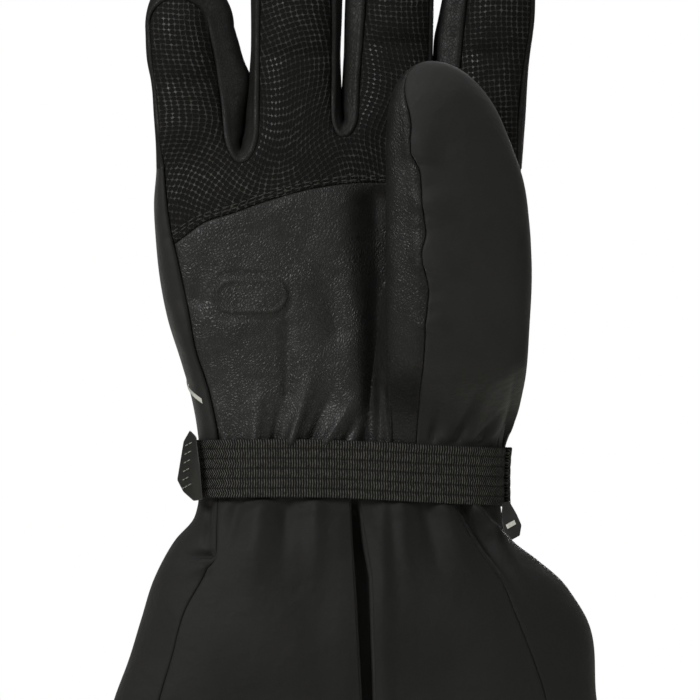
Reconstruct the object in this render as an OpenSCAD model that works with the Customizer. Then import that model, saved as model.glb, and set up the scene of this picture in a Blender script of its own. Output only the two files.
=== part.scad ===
// Insulated ski glove for the right hand, standing on the hem of its gauntlet.
// +X is the thumb side, -Y the palm side and +Z the fingertips, in millimetres.
// The origin is under the middle of the glove's box, on the surface it stands on.

/* [Fingers: little, ring, middle, index] */
// Width of each finger
finger_w = [28, 32.4, 31, 28.6]; // [26:0.1:34]
// Height of each finger's knuckle fold above the hem
knuckle_z = [205, 211, 213, 211]; // [203:0.5:214]
// Length of each finger from its knuckle fold to its second fold
first_len = [31, 34, 36, 35]; // [30:0.5:38]
// Length of each finger from its knuckle fold to its tip
finger_len = [65, 79, 89, 78]; // [64:0.5:92]
// Lean of each finger towards the thumb side, in degrees
finger_lean = [-5, 1.5, 1.5, 5.5]; // [-5:0.5:6]
// Depth of every finger from palm side to back
finger_depth = 25; // [23:0.5:26]
// Gap between neighbouring fingers at their base
finger_gap = 1.7; // [1.6:0.1:2.2]

/* [Hand] */
// How far the glove's middle plane lies behind the origin
hand_y = 8; // [6:0.5:10]
// Width of the palm across the finger knuckles
palm_w = 127; // [126:0.5:130]
// Depth of the hand at the knuckles
palm_depth = 32; // [31:0.5:34]
// Width of the wrist inside its strap
wrist_w = 105; // [102:0.5:108]
// Depth of the wrist
wrist_depth = 40; // [38:0.5:40]
// Height of the wrist fold above the hem
wrist_z = 88; // [86:0.5:90]

/* [Thumb] */
// Width of the thumb, which lies flat in front of the palm
thumb_w = 47; // [46:0.5:48]
// Depth of the thumb from its front to its back
thumb_depth = 24; // [22:0.5:24]
// Middle of the thumb's lower part
thumb_x = 36; // [35:0.5:37]
// Middle of the thumb's tip
thumb_tip_x = 29; // [27:0.5:31]
// Height of the thumb's top above the hem
thumb_top_z = 239.5; // [236:0.5:240]

/* [Gauntlet] */
// Width of the hem
hem_w = 172; // [168:1:176]
// Depth of the hem
hem_depth = 60; // [56:1:60]
// Height of the bound edge
binding_h = 7; // [5:0.5:9]

/* [Strap] */
// Width of the wrist webbing
strap_h = 20; // [18:0.5:20]
// Height of the webbing's lower edge above the hem
strap_z = 92.7; // [92.5:0.1:94]
// Thickness of the webbing
strap_t = 1.6; // [1.2:0.1:1.8]

/* [Layers] */
// Thickness of the outer leather and cloth
skin = 1.5; // [1.2:0.1:1.8]
// Thickness of the insulated liner
liner = 2.8; // [2.4:0.1:3]
// Play between pieces that move past each other
play = 0.3; // [0.3:0.05:0.4]

/* [Hidden] */
// Air between two layers of one piece
air = 0.1;
// Longer than anything it cuts
far = 400;
LITTLE = 0;
RING = 1;
MIDDLE = 2;
INDEX = 3;
// The rounded lower end of a finger part is a little slimmer than the finger
finger_r = finger_depth / 2 - 0.2;
// Room in front of a knuckle, so that the finger can bend by 70 degrees
bend_room = 10;
// Room in front of a second fold, and of the fold in the thumb
second_room = 12;
// Room behind a knuckle, so that the finger can bend back by 20 degrees
back_room = 3;
// Half the width of the grip patch and of the back strip, as a share of the finger
grip_share = 0.34;
back_share = 0.37;
// Outer layer and liner as distances inwards from the surface
skin_in = [0, skin];
liner_in = [skin + air, skin + air + liner];

// Cross-sections from bottom to top: height, left edge, right edge, depth
palm_left = -67.5;
wrist_left = -54;
wrist_right = wrist_left + wrist_w;
strap_top = strap_z + strap_h;
hand_levels = [
    [wrist_z + 2, wrist_left, wrist_right, wrist_depth],
    [strap_top + 4, wrist_left - 0.5, wrist_right + 0.5, wrist_depth],
    [168, palm_left + 1.5, palm_left + palm_w - 3, (wrist_depth + palm_depth) / 2],
    [220, palm_left, palm_left + palm_w, palm_depth]
];
gauntlet_levels = [
    [0, -hem_w / 2, hem_w / 2, hem_depth],
    [58, -67, 75, (hem_depth + wrist_depth) / 2 - 1],
    [wrist_z + 2, wrist_left, wrist_right, wrist_depth]
];

// Places of the thumb and its folds
thumb_r = thumb_w / 2 - 0.2;
thumb_y = hand_y - wrist_depth / 2 - strap_t - 0.9 - thumb_depth / 2;
thumb_fold_z = strap_top + 1.8 + thumb_w / 2;
thumb_mid_z = 188;
thumb_hole_r = 15;
// From just behind the thumb's front to the palm
gusset_depth = hand_y - wrist_depth / 2 - thumb_y + thumb_depth / 2 - 0.5 - 0.05;

// Middle of finger i at its knuckle fold, counted from the palm's little-finger edge
function finger_x(i) =
    palm_left + 0.9 + finger_w[i] / 2
    + (i == 0 ? 0 : finger_x(i - 1) - palm_left - 0.9 + finger_w[i - 1] / 2 + finger_gap);
function second_z(i) = knuckle_z[i] + first_len[i];

// Oblong with round ends, w wide and d deep
module oblong(w, d, sides = 48) {
    square([w - d, d], center = true);
    for (side = [-1, 1])
        translate([side * (w - d) / 2, 0])
            circle(d = d, $fn = sides);
}

// Rod of radius r along X through the middle plane at height z
module fold_rod(r, z) {
    translate([0, hand_y, z])
        rotate([0, 90, 0])
            cylinder(r = r, h = far, center = true, $fn = 64);
}

// Everything above a fold, with a rounded lower end that turns in the part below
module above_fold(z) {
    translate([-far / 2, -far / 2, z])
        cube(far);
    fold_rod(finger_r, z);
}

// Room that the part above a fold needs: a trough, a front gap and all above it
module fold_room(z, front, back) {
    fold_rod(finger_r + play, z);
    translate([-far / 2, hand_y - far, z - front])
        cube(far);
    translate([-far / 2, hand_y, z - back])
        cube(far);
}

// Solid finger i, its whole surface moved inwards by t
module finger_form(i, t) {
    w = finger_w[i] - 2 * t;
    d = finger_depth - 2 * t;
    cap_z = finger_len[i] - finger_depth / 2;
    translate([0, 0, -finger_depth])
        linear_extrude(finger_depth + cap_z)
            oblong(w, d);
    translate([0, 0, cap_z]) {
        rotate([0, 90, 0])
            cylinder(d = d, h = w - d, center = true, $fn = 48);
        for (side = [-1, 1])
            translate([side * (w - d) / 2, 0, 0])
                sphere(d = d, $fn = 48);
    }
}

// Moves finger i from its own frame to its place
module at_finger(i) {
    translate([finger_x(i), hand_y, knuckle_z[i]])
        rotate([0, finger_lean[i], 0])
            children();
}

// One layer of finger i between two depths under its surface
module finger_layer(i, depths) {
    difference() {
        finger_form(i, depths[0]);
        finger_form(i, depths[1]);
    }
}

// Cuts a layer down to the part that ends at the second fold
module base_part(i) {
    difference() {
        intersection() {
            at_finger(i)
                children();
            above_fold(knuckle_z[i]);
        }
        fold_room(second_z(i), second_room, play);
    }
}

// Cuts a layer down to the part beyond the second fold
module tip_part(i) {
    intersection() {
        at_finger(i)
            children();
        above_fold(second_z(i));
    }
}

module grip_cut(i) {
    intersection() {
        finger_layer(i, skin_in);
        translate([-grip_share * finger_w[i], -far, -far / 2])
            cube([2 * grip_share * finger_w[i], far, far]);
    }
}

module back_cut(i) {
    intersection() {
        finger_layer(i, skin_in);
        translate([-back_share * finger_w[i], 0, -far / 2])
            cube([2 * back_share * finger_w[i], far, far]);
    }
}

module sides_cut(i) {
    difference() {
        finger_layer(i, skin_in);
        translate([-grip_share * finger_w[i], -far, -far / 2])
            cube([2 * grip_share * finger_w[i], far, far]);
        translate([-back_share * finger_w[i], 0, -far / 2])
            cube([2 * back_share * finger_w[i], far, far]);
    }
}

module finger_base_grip(i) { color("dimgray") base_part(i) grip_cut(i); }
module finger_base_sides(i) { color([0.16, 0.16, 0.16]) base_part(i) sides_cut(i); }
module finger_base_back(i) { color([0.22, 0.22, 0.23]) base_part(i) back_cut(i); }
module finger_base_liner(i) { color([0.35, 0.35, 0.37]) base_part(i) finger_layer(i, liner_in); }
module finger_tip_grip(i) { color("dimgray") tip_part(i) grip_cut(i); }
module finger_tip_sides(i) { color([0.16, 0.16, 0.16]) tip_part(i) sides_cut(i); }
module finger_tip_back(i) { color([0.22, 0.22, 0.23]) tip_part(i) back_cut(i); }
module finger_tip_liner(i) { color([0.35, 0.35, 0.37]) tip_part(i) finger_layer(i, liner_in); }

// Thin oblong slice of a level, its edge moved inwards by t
module slice(level, t) {
    translate([(level[1] + level[2]) / 2, hand_y, level[0]])
        linear_extrude(0.01)
            oblong(level[2] - level[1] - 2 * t, level[3] - 2 * t, 24);
}

// Solid through a list of levels, moved inwards by t
module loft(levels, t) {
    for (k = [1 : len(levels) - 1])
        hull() {
            slice(levels[k - 1], t);
            slice(levels[k], t);
        }
}

// Wall between two depths under a loft's surface, open at its top and bottom
module wall(levels, depths) {
    difference() {
        loft(levels, depths[0]);
        loft(levels, depths[1]);
    }
}

// Prism along Y with its outline in X and Z, from y0 to y1 about the middle plane
module prism(outline, y0, y1) {
    translate([0, hand_y + y1, 0])
        rotate([90, 0, 0])
            linear_extrude(y1 - y0)
                polygon(outline);
}

// Room for the fingers at the top of the hand
module knuckle_room() {
    for (i = [LITTLE : INDEX]) {
        x0 = i == LITTLE ? -far : finger_x(i) - finger_w[i] / 2 - finger_gap / 2;
        x1 = i == INDEX ? far : finger_x(i) + finger_w[i] / 2 + finger_gap / 2;
        intersection() {
            fold_room(knuckle_z[i], bend_room, back_room);
            translate([x0, -far / 2, 0])
                cube([x1 - x0, far, far]);
        }
    }
}

// Hole through the palm that the thumb goes into
module thumb_hole() {
    translate([thumb_x, hand_y, thumb_fold_z])
        rotate([90, 0, 0])
            cylinder(r = thumb_hole_r, h = far, $fn = 64);
}

// A layer of the hand with its finger and thumb openings
module hand_layer(depths) {
    difference() {
        wall(hand_levels, depths);
        knuckle_room();
        thumb_hole();
    }
}

// Outline of the soft strip along the little finger's side of the hand
side_seam = [[-46, strap_top + 4], [-52.5, 141], [-58.5, 172], [-62.5, 194], [-63.5, 220]];
side_outline = concat([[-far, 0], [-46, 0]], side_seam, [[-far, 220]]);
// Outline of the grip above the seam across the palm
grip_outline = [[-far, 176], [-64, 179], [-45, 188], [-12, 196.5], [10, 199], [far, 199], [far, 260], [-far, 260]];
side_back = 8;
// Front of the pull tag, counted from the middle plane
tag_y = hand_y - 9.5;

module palm_grip() {
    color("dimgray")
        difference() {
            intersection() {
                hand_layer(skin_in);
                prism(grip_outline, -far, 0);
            }
            prism(side_outline, -far, far);
        }
}

module palm_leather() {
    color([0.19, 0.19, 0.19])
        difference() {
            hand_layer(skin_in);
            prism([[-far, -1], [far, -1], [far, 300], [-far, 300]], 0, far);
            prism(grip_outline, -far, far);
            prism(side_outline, -far, far);
        }
}

module side_panel() {
    color([0.22, 0.22, 0.23])
        intersection() {
            hand_layer(skin_in);
            prism(side_outline, -far, side_back);
        }
}

module back_panel() {
    color([0.22, 0.22, 0.23])
        difference() {
            intersection() {
                hand_layer(skin_in);
                prism([[-far, -1], [far, -1], [far, 300], [-far, 300]], 0, far);
            }
            prism(side_outline, -far, side_back);
        }
}

module hand_liner() { color([0.35, 0.35, 0.37]) hand_layer(liner_in); }

// Padded bar across the back of the knuckles
module knuckle_pad() {
    color([0.25, 0.25, 0.26])
        intersection() {
            wall(hand_levels, [-3, -air]);
            prism([[-50, 168], [42, 168], [42, 198], [-50, 192]], 5, far);
        }
}

// Narrow reflective strip on the little finger's side, next to the wrist
module reflective_stripe() {
    color("white")
        intersection() {
            wall(hand_levels, [-0.5, -air]);
            prism([[-56, 131.5], [-50, 125.5], [-49.2, 126.3], [-55.2, 132.3]], -far, 0);
        }
}

// Moves a shape from the thumb's own frame, with +X across it, to its place
module at_thumb() {
    translate([thumb_x, thumb_y, thumb_fold_z])
        children();
}

// Solid lower part of the thumb, moved inwards by t
module thumb_base_form(t) {
    translate([0, 0, -thumb_w])
        linear_extrude(thumb_w + thumb_mid_z - thumb_fold_z)
            oblong(thumb_w - 2 * t, thumb_depth - 2 * t);
}

// Solid upper part of the thumb, which narrows to a round top, moved inwards by t
module thumb_tip_form(t) {
    d = thumb_depth - 2 * t;
    mid = thumb_mid_z - thumb_fold_z;
    top = thumb_top_z - thumb_fold_z - thumb_depth / 2;
    hull() {
        translate([0, 0, mid - thumb_w])
            linear_extrude(thumb_w + 8)
                oblong(thumb_w - 2 * t, d, 32);
        for (side = [-1, 1])
            translate([thumb_tip_x - thumb_x + side * 3, 0, top])
                sphere(d = d, $fn = 32);
    }
}

module thumb_base_layer(depths) {
    difference() {
        thumb_base_form(depths[0]);
        thumb_base_form(depths[1]);
    }
}

module thumb_tip_layer(depths) {
    difference() {
        thumb_tip_form(depths[0]);
        thumb_tip_form(depths[1]);
    }
}

// Rod of radius r along Y at height z in the thumb's own frame
module thumb_rod(r, z) {
    translate([0, 0, z])
        rotate([90, 0, 0])
            cylinder(r = r, h = far, center = true, $fn = 96);
}

module above_thumb_fold(z) {
    translate([-far / 2, -far / 2, z])
        cube(far);
    thumb_rod(thumb_r, z);
}

// Lower part of a thumb layer, open to the palm behind it
module thumb_base_part() {
    mid = thumb_mid_z - thumb_fold_z;
    at_thumb()
        difference() {
            intersection() {
                children();
                above_thumb_fold(0);
            }
            thumb_rod(thumb_r + play, mid);
            translate([-far, -far / 2, mid - second_room])
                cube(far);
            translate([0, -far / 2, mid - play])
                cube(far);
            rotate([-90, 0, 0])
                cylinder(r = thumb_hole_r, h = far, $fn = 64);
        }
}

module thumb_tip_part() {
    at_thumb()
        intersection() {
            children();
            above_thumb_fold(thumb_mid_z - thumb_fold_z);
        }
}

// Leather covers the side of the thumb that meets the fingers, softshell the rest
module leather_side() {
    intersection() {
        children();
        translate([-far - 12, -far / 2, -far / 2])
            cube(far);
    }
}

module softshell_side() {
    intersection() {
        children();
        translate([-12, -far / 2, -far / 2])
            cube(far);
    }
}

module thumb_base_leather() { color([0.19, 0.19, 0.19]) thumb_base_part() leather_side() thumb_base_layer(skin_in); }
module thumb_base_softshell() { color([0.22, 0.22, 0.23]) thumb_base_part() softshell_side() thumb_base_layer(skin_in); }
module thumb_base_liner() { color([0.35, 0.35, 0.37]) thumb_base_part() thumb_base_layer(liner_in); }
module thumb_tip_leather() { color([0.19, 0.19, 0.19]) thumb_tip_part() leather_side() thumb_tip_layer(skin_in); }
module thumb_tip_softshell() { color([0.22, 0.22, 0.23]) thumb_tip_part() softshell_side() thumb_tip_layer(skin_in); }
module thumb_tip_liner() { color([0.35, 0.35, 0.37]) thumb_tip_part() thumb_tip_layer(liner_in); }

// Curved piece under the thumb's round lower end, which joins it to the palm
module thumb_gusset() {
    color([0.19, 0.19, 0.19])
        at_thumb()
            intersection() {
                difference() {
                    thumb_rod(thumb_r + play + 1.2, 0);
                    thumb_rod(thumb_r + play, 0);
                }
                translate([0, -thumb_depth / 2 + 0.5, 0])
                    rotate([-90, 0, 0])
                        linear_extrude(gusset_depth)
                            polygon([[0, 0], [-far, 0], [-far, far], [0.7 * far, far]]);
            }
}

// Ring around the wrist between two distances outside it, from z0 to z1
module wrist_ring(near, reach, z0, z1) {
    intersection() {
        wall(hand_levels, [-reach, -near]);
        translate([-far / 2, -far / 2, z0])
            cube([far, far, z1 - z0]);
    }
}

// Keeps the palm side of the wrist, or its back
module palm_side() {
    intersection() {
        children();
        translate([-far / 2, hand_y - far, 0])
            cube(far);
    }
}

module back_side(left, right) {
    intersection() {
        children();
        translate([left, hand_y + play, 0])
            cube([right - left, far, far]);
    }
}

module wrist_webbing() {
    color([0.28, 0.28, 0.28])
        palm_side()
            wrist_ring(air, air + strap_t, strap_z, strap_top);
}

// Angular tab that the webbing is sewn to, on the little finger's side
module webbing_anchor() {
    color([0.24, 0.24, 0.25])
        intersection() {
            palm_side()
                wrist_ring(air + strap_t + air, 3.2, strap_z, strap_top + 2);
            prism([[-far, 95], [-53, 90], [-50, 92.8], [-51, 115], [-far, 112]], -far, far);
        }
}

// Moulded tag that hangs from the webbing's end on the thumb side
module pull_tag() {
    color([0.14, 0.14, 0.14])
        translate([0, tag_y, strap_z])
            rotate([-32, 0, 0])
                prism([[50.5, -2], [52.8, -0.5], [57, -3], [56.4, -6.6], [53.2, -7.2], [50.5, -5.5]],
                    -hand_y - 1.6, -hand_y);
}

module loop_patch() {
    color([0.12, 0.12, 0.12])
        back_side(-36, 24)
            wrist_ring(air, 0.8, strap_z + 1, strap_top - 1);
}

module hook_patch() {
    color([0.12, 0.12, 0.12])
        back_side(-2, 22)
            wrist_ring(1.2, 1.9, strap_z + 2, strap_top - 2);
}

module closure_flap() {
    color([0.26, 0.26, 0.27])
        back_side(-6, far)
            wrist_ring(2, 3.8, strap_z - 1, strap_top);
}

// Roof-shaped room at the wrist fold, so that the hand can tilt either way
module wrist_room(drop) {
    translate([-far / 2, 0, 0])
        rotate([90, 0, 90])
            linear_extrude(far)
                polygon([
                    [hand_y, wrist_z - drop],
                    [hand_y + far, wrist_z - drop - 0.66 * far],
                    [hand_y + far, far],
                    [hand_y - far, far],
                    [hand_y - far, wrist_z - drop - 0.66 * far]
                ]);
}

// Stretch cloth that closes the wrist fold
module wrist_gusset() {
    color([0.3, 0.3, 0.31])
        difference() {
            intersection() {
                wall(gauntlet_levels, [skin + air, 2 * skin + air]);
                wrist_room(0.4);
            }
            translate([-far / 2, -far / 2, wrist_z + 1.6])
                cube(far);
        }
}

module gauntlet_layer(depths, bottom) {
    difference() {
        wall(gauntlet_levels, depths);
        wrist_room(1);
        translate([-far / 2, -far / 2, bottom - far])
            cube(far);
    }
}

// Seams between the gauntlet's side panels and its palm and back panels
left_outline = [[-far, -1], [-69, -1], [-46, 73], [-45, 100], [-far, 100]];
right_outline = [[far, -1], [74, -1], [58, 60], [44, 84], [44, 100], [far, 100]];
binding_lap = 2;

module gauntlet_middle() {
    difference() {
        gauntlet_layer(skin_in, binding_lap);
        prism(left_outline, -far, far);
        prism(right_outline, -far, far);
    }
}

module gauntlet_palm_panel() { color([0.2, 0.2, 0.21]) palm_side() gauntlet_middle(); }

module gauntlet_back_panel() {
    color([0.2, 0.2, 0.21])
        difference() {
            gauntlet_middle();
            translate([-far / 2, hand_y - far, 0])
                cube(far);
        }
}

module gauntlet_left_panel() {
    color([0.23, 0.23, 0.24])
        intersection() {
            gauntlet_layer(skin_in, binding_lap);
            prism(left_outline, -far, far);
        }
}

module gauntlet_right_panel() {
    color([0.23, 0.23, 0.24])
        intersection() {
            gauntlet_layer(skin_in, binding_lap);
            prism(right_outline, -far, far);
        }
}

module gauntlet_lining() {
    color([0.32, 0.32, 0.34])
        gauntlet_layer([skin + air, 2 * skin - 0.2], binding_lap);
}

// Folded strip that holds the hem between its two sides
module hem_binding() {
    color([0.15, 0.15, 0.15])
        intersection() {
            difference() {
                wall(gauntlet_levels, [-0.8, 2 * skin + 0.8]);
                difference() {
                    wall(gauntlet_levels, [-air, 2 * skin]);
                    translate([-far / 2, -far / 2, binding_lap - air - far])
                        cube(far);
                }
            }
            translate([-far / 2, -far / 2, 0])
                cube([far, far, binding_h]);
        }
}

finger_base_grip(LITTLE);  // little_base_grip
finger_base_sides(LITTLE);  // little_base_sides
finger_base_back(LITTLE);  // little_base_back
finger_base_liner(LITTLE);  // little_base_liner
finger_tip_grip(LITTLE);  // little_tip_grip
finger_tip_sides(LITTLE);  // little_tip_sides
finger_tip_back(LITTLE);  // little_tip_back
finger_tip_liner(LITTLE);  // little_tip_liner
finger_base_grip(RING);  // ring_base_grip
finger_base_sides(RING);  // ring_base_sides
finger_base_back(RING);  // ring_base_back
finger_base_liner(RING);  // ring_base_liner
finger_tip_grip(RING);  // ring_tip_grip
finger_tip_sides(RING);  // ring_tip_sides
finger_tip_back(RING);  // ring_tip_back
finger_tip_liner(RING);  // ring_tip_liner
finger_base_grip(MIDDLE);  // middle_base_grip
finger_base_sides(MIDDLE);  // middle_base_sides
finger_base_back(MIDDLE);  // middle_base_back
finger_base_liner(MIDDLE);  // middle_base_liner
finger_tip_grip(MIDDLE);  // middle_tip_grip
finger_tip_sides(MIDDLE);  // middle_tip_sides
finger_tip_back(MIDDLE);  // middle_tip_back
finger_tip_liner(MIDDLE);  // middle_tip_liner
finger_base_grip(INDEX);  // index_base_grip
finger_base_sides(INDEX);  // index_base_sides
finger_base_back(INDEX);  // index_base_back
finger_base_liner(INDEX);  // index_base_liner
finger_tip_grip(INDEX);  // index_tip_grip
finger_tip_sides(INDEX);  // index_tip_sides
finger_tip_back(INDEX);  // index_tip_back
finger_tip_liner(INDEX);  // index_tip_liner
thumb_base_leather();
thumb_base_softshell();
thumb_base_liner();
thumb_tip_leather();
thumb_tip_softshell();
thumb_tip_liner();
thumb_gusset();
palm_grip();
palm_leather();
side_panel();
back_panel();
knuckle_pad();
reflective_stripe();
hand_liner();
wrist_webbing();
webbing_anchor();
pull_tag();
loop_patch();
closure_flap();
hook_patch();
wrist_gusset();
gauntlet_palm_panel();
gauntlet_back_panel();
gauntlet_left_panel();
gauntlet_right_panel();
gauntlet_lining();
hem_binding();
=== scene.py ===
"""Looks of a padded ski glove, palm to the front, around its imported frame.

Lengths are millimetres in the row frame until mesh() scales them to metres.
X runs from the little finger to the thumb, Y from the palm to the back, Z from the hem to the fingertips.
"""

import math

import bmesh
import bpy
import numpy as np
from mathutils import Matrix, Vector


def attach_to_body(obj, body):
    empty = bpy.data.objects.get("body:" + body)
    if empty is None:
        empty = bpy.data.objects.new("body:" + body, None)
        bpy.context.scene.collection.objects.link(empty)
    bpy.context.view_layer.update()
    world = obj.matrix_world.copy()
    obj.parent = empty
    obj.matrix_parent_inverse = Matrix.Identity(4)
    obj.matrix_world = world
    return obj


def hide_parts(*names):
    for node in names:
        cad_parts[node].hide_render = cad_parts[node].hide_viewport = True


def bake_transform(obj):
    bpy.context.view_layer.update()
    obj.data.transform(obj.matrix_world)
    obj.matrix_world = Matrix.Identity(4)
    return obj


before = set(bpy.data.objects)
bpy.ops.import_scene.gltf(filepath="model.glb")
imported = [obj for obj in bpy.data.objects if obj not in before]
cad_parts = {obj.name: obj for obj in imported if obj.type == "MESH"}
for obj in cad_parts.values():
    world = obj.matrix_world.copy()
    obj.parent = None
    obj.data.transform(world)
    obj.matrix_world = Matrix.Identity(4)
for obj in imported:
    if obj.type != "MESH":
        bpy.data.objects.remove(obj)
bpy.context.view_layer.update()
MM = 0.001
WAVE = 6.283  # one whole turn, for waves
MID = 8.0  # the plane halfway through the hand, in Y
JOIN = 204.0  # height where the fingers' own pieces begin
CUFF_TOP = 95.0
STRAP_Z = 102.0
PALMWARD, BACKWARD = (0, -1, 0, 1), (0, 1, 0, 1)  # directions for shell's out


# ---------------------------------------------------------------- numbers
def curve(*stations):
    """Smooth function through (place, value) pairs, level beyond its ends."""
    x, y = np.array(stations, float).T
    slope = np.gradient(y, x)

    def at(q):
        q = np.clip(np.asarray(q, float), x[0], x[-1])
        k = np.clip(np.searchsorted(x, q) - 1, 0, len(x) - 2)
        h = x[k + 1] - x[k]
        t = (q - x[k]) / h
        return (
            (1 + 2 * t) * (1 - t) ** 2 * y[k]
            + t * (1 - t) ** 2 * h * slope[k]
            + t * t * (3 - 2 * t) * y[k + 1]
            + t * t * (t - 1) * h * slope[k + 1]
        )

    return at


def ease(a, b, q):
    """0 before a, 1 after b, smooth between."""
    t = np.clip((np.asarray(q, float) - a) / (b - a), 0, 1)
    return t * t * (3 - 2 * t)


def mix(a, b, t):
    return a + (b - a) * t


def places(length, pitch):
    """Shares from 0 to 1 along a length, closer together at both ends for the rolled seams."""
    ends = np.array([0, 0.15, 0.35, 0.6, 0.9, 1.3]) / length
    inner = np.linspace(0, 1, max(3, int(length / pitch)) + 1)
    inner = inner[(inner > 1.7 / length) & (inner < 1 - 1.7 / length)]
    return np.unique(np.concatenate([ends, inner, 1 - ends]))


def ripple(x, z, size, seed=0.0):
    """Slow unevenness between about -1 and 1."""
    total = 0
    for k in range(1, 6):
        turn = 2.4 * k + seed
        wave = size / (0.55 + 0.27 * k)
        total = total + np.sin((x * math.cos(turn) + z * math.sin(turn)) * WAVE / wave + 1.7 * turn)
    return total / 3


def bell(away, width):
    """1 in the middle, dying away to both sides."""
    return np.exp(-((away / width) ** 2))


def folds(x, z, lines, scale=1.0, slim=1.0, fade=0.8):
    """Soft ridges. Each line is its start's and its end's x and z, width and height, and dies away to its end."""
    high = 0
    for ax, az, bx, bz, width, height in lines:
        dx, dz = bx - ax, bz - az
        t = np.clip(((x - ax) * dx + (z - az) * dz) / (dx * dx + dz * dz), 0, 1)
        away = np.hypot(x - ax - t * dx, z - az - t * dz)
        high = high + scale * height * bell(away, slim * width * (1 + 0.4 * t)) * (1 - fade * t)
    return high


def points(x, y, z):
    """Points from coordinates that may be rows, columns or single numbers."""
    return np.stack(np.broadcast_arrays(x, y, z), -1)


def rounded(turn, power):
    """Cosine and sine of a turn, raised to a power with their signs kept."""
    c, s = np.cos(turn), np.sin(turn)
    return np.sign(c) * np.abs(c) ** power, np.sign(s) * np.abs(s) ** power


def oval(turn, z, left, right, depth, power):
    """Points round a section between left and right. 90 degrees is the front, 0 the right."""
    c, s = rounded(turn, power)
    return points((left + right) / 2 + (right - left) / 2 * c, MID - depth * s, z)


def full_turn(count):
    return np.linspace(0, 2 * math.pi, count + 1)[:-1]


# ---------------------------------------------------------------- meshes
def grid_normals(P):
    du = np.gradient(P, axis=1)
    dv = np.gradient(P, axis=0)
    n = np.cross(du, dv)
    size = np.linalg.norm(n, axis=2, keepdims=True)
    weak = size[..., 0] < 1e-7
    n = n / np.maximum(size, 1e-9)
    for k in np.flatnonzero(weak.all(axis=1)):
        n[k] = n[k - 1] if k else n[k + 1]
    return n


def outward(P, inside):
    """Normals of a grid, away from a point inside its form."""
    N = grid_normals(P)
    return -N if np.sum(N * (P - np.array(inside))) < 0 else N


def add(name, data):
    obj = bpy.data.objects.new(name, data)
    bpy.context.scene.collection.objects.link(obj)
    return obj


def keep(data, rest, pat):
    """Keep every vertex's place at rest and its place in the pattern, for the materials."""
    for key, values in (("rest", rest), ("pat", pat)):
        layer = data.attributes.new(key, "FLOAT_VECTOR", "POINT")
        layer.data.foreach_set("vector", np.asarray(values, np.float32).ravel())


def mesh(name, verts, faces, material, rest, pat, sharp=()):
    data = bpy.data.meshes.new(name)
    data.from_pydata((np.asarray(verts) * MM).tolist(), [], faces)
    obj = add(name, data)
    keep(data, rest, pat)
    bm = bmesh.new()
    bm.from_mesh(data)
    bm.verts.ensure_lookup_table()
    for a, b in sharp:
        edge = bm.edges.get((bm.verts[a], bm.verts[b]))
        if edge:
            edge.smooth = False
    bmesh.ops.remove_doubles(bm, verts=bm.verts, dist=2e-6)
    bmesh.ops.recalc_face_normals(bm, faces=bm.faces)
    for face in bm.faces:
        face.smooth = True
    bm.to_mesh(data)
    bm.free()
    data.materials.append(material)
    return obj


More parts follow.
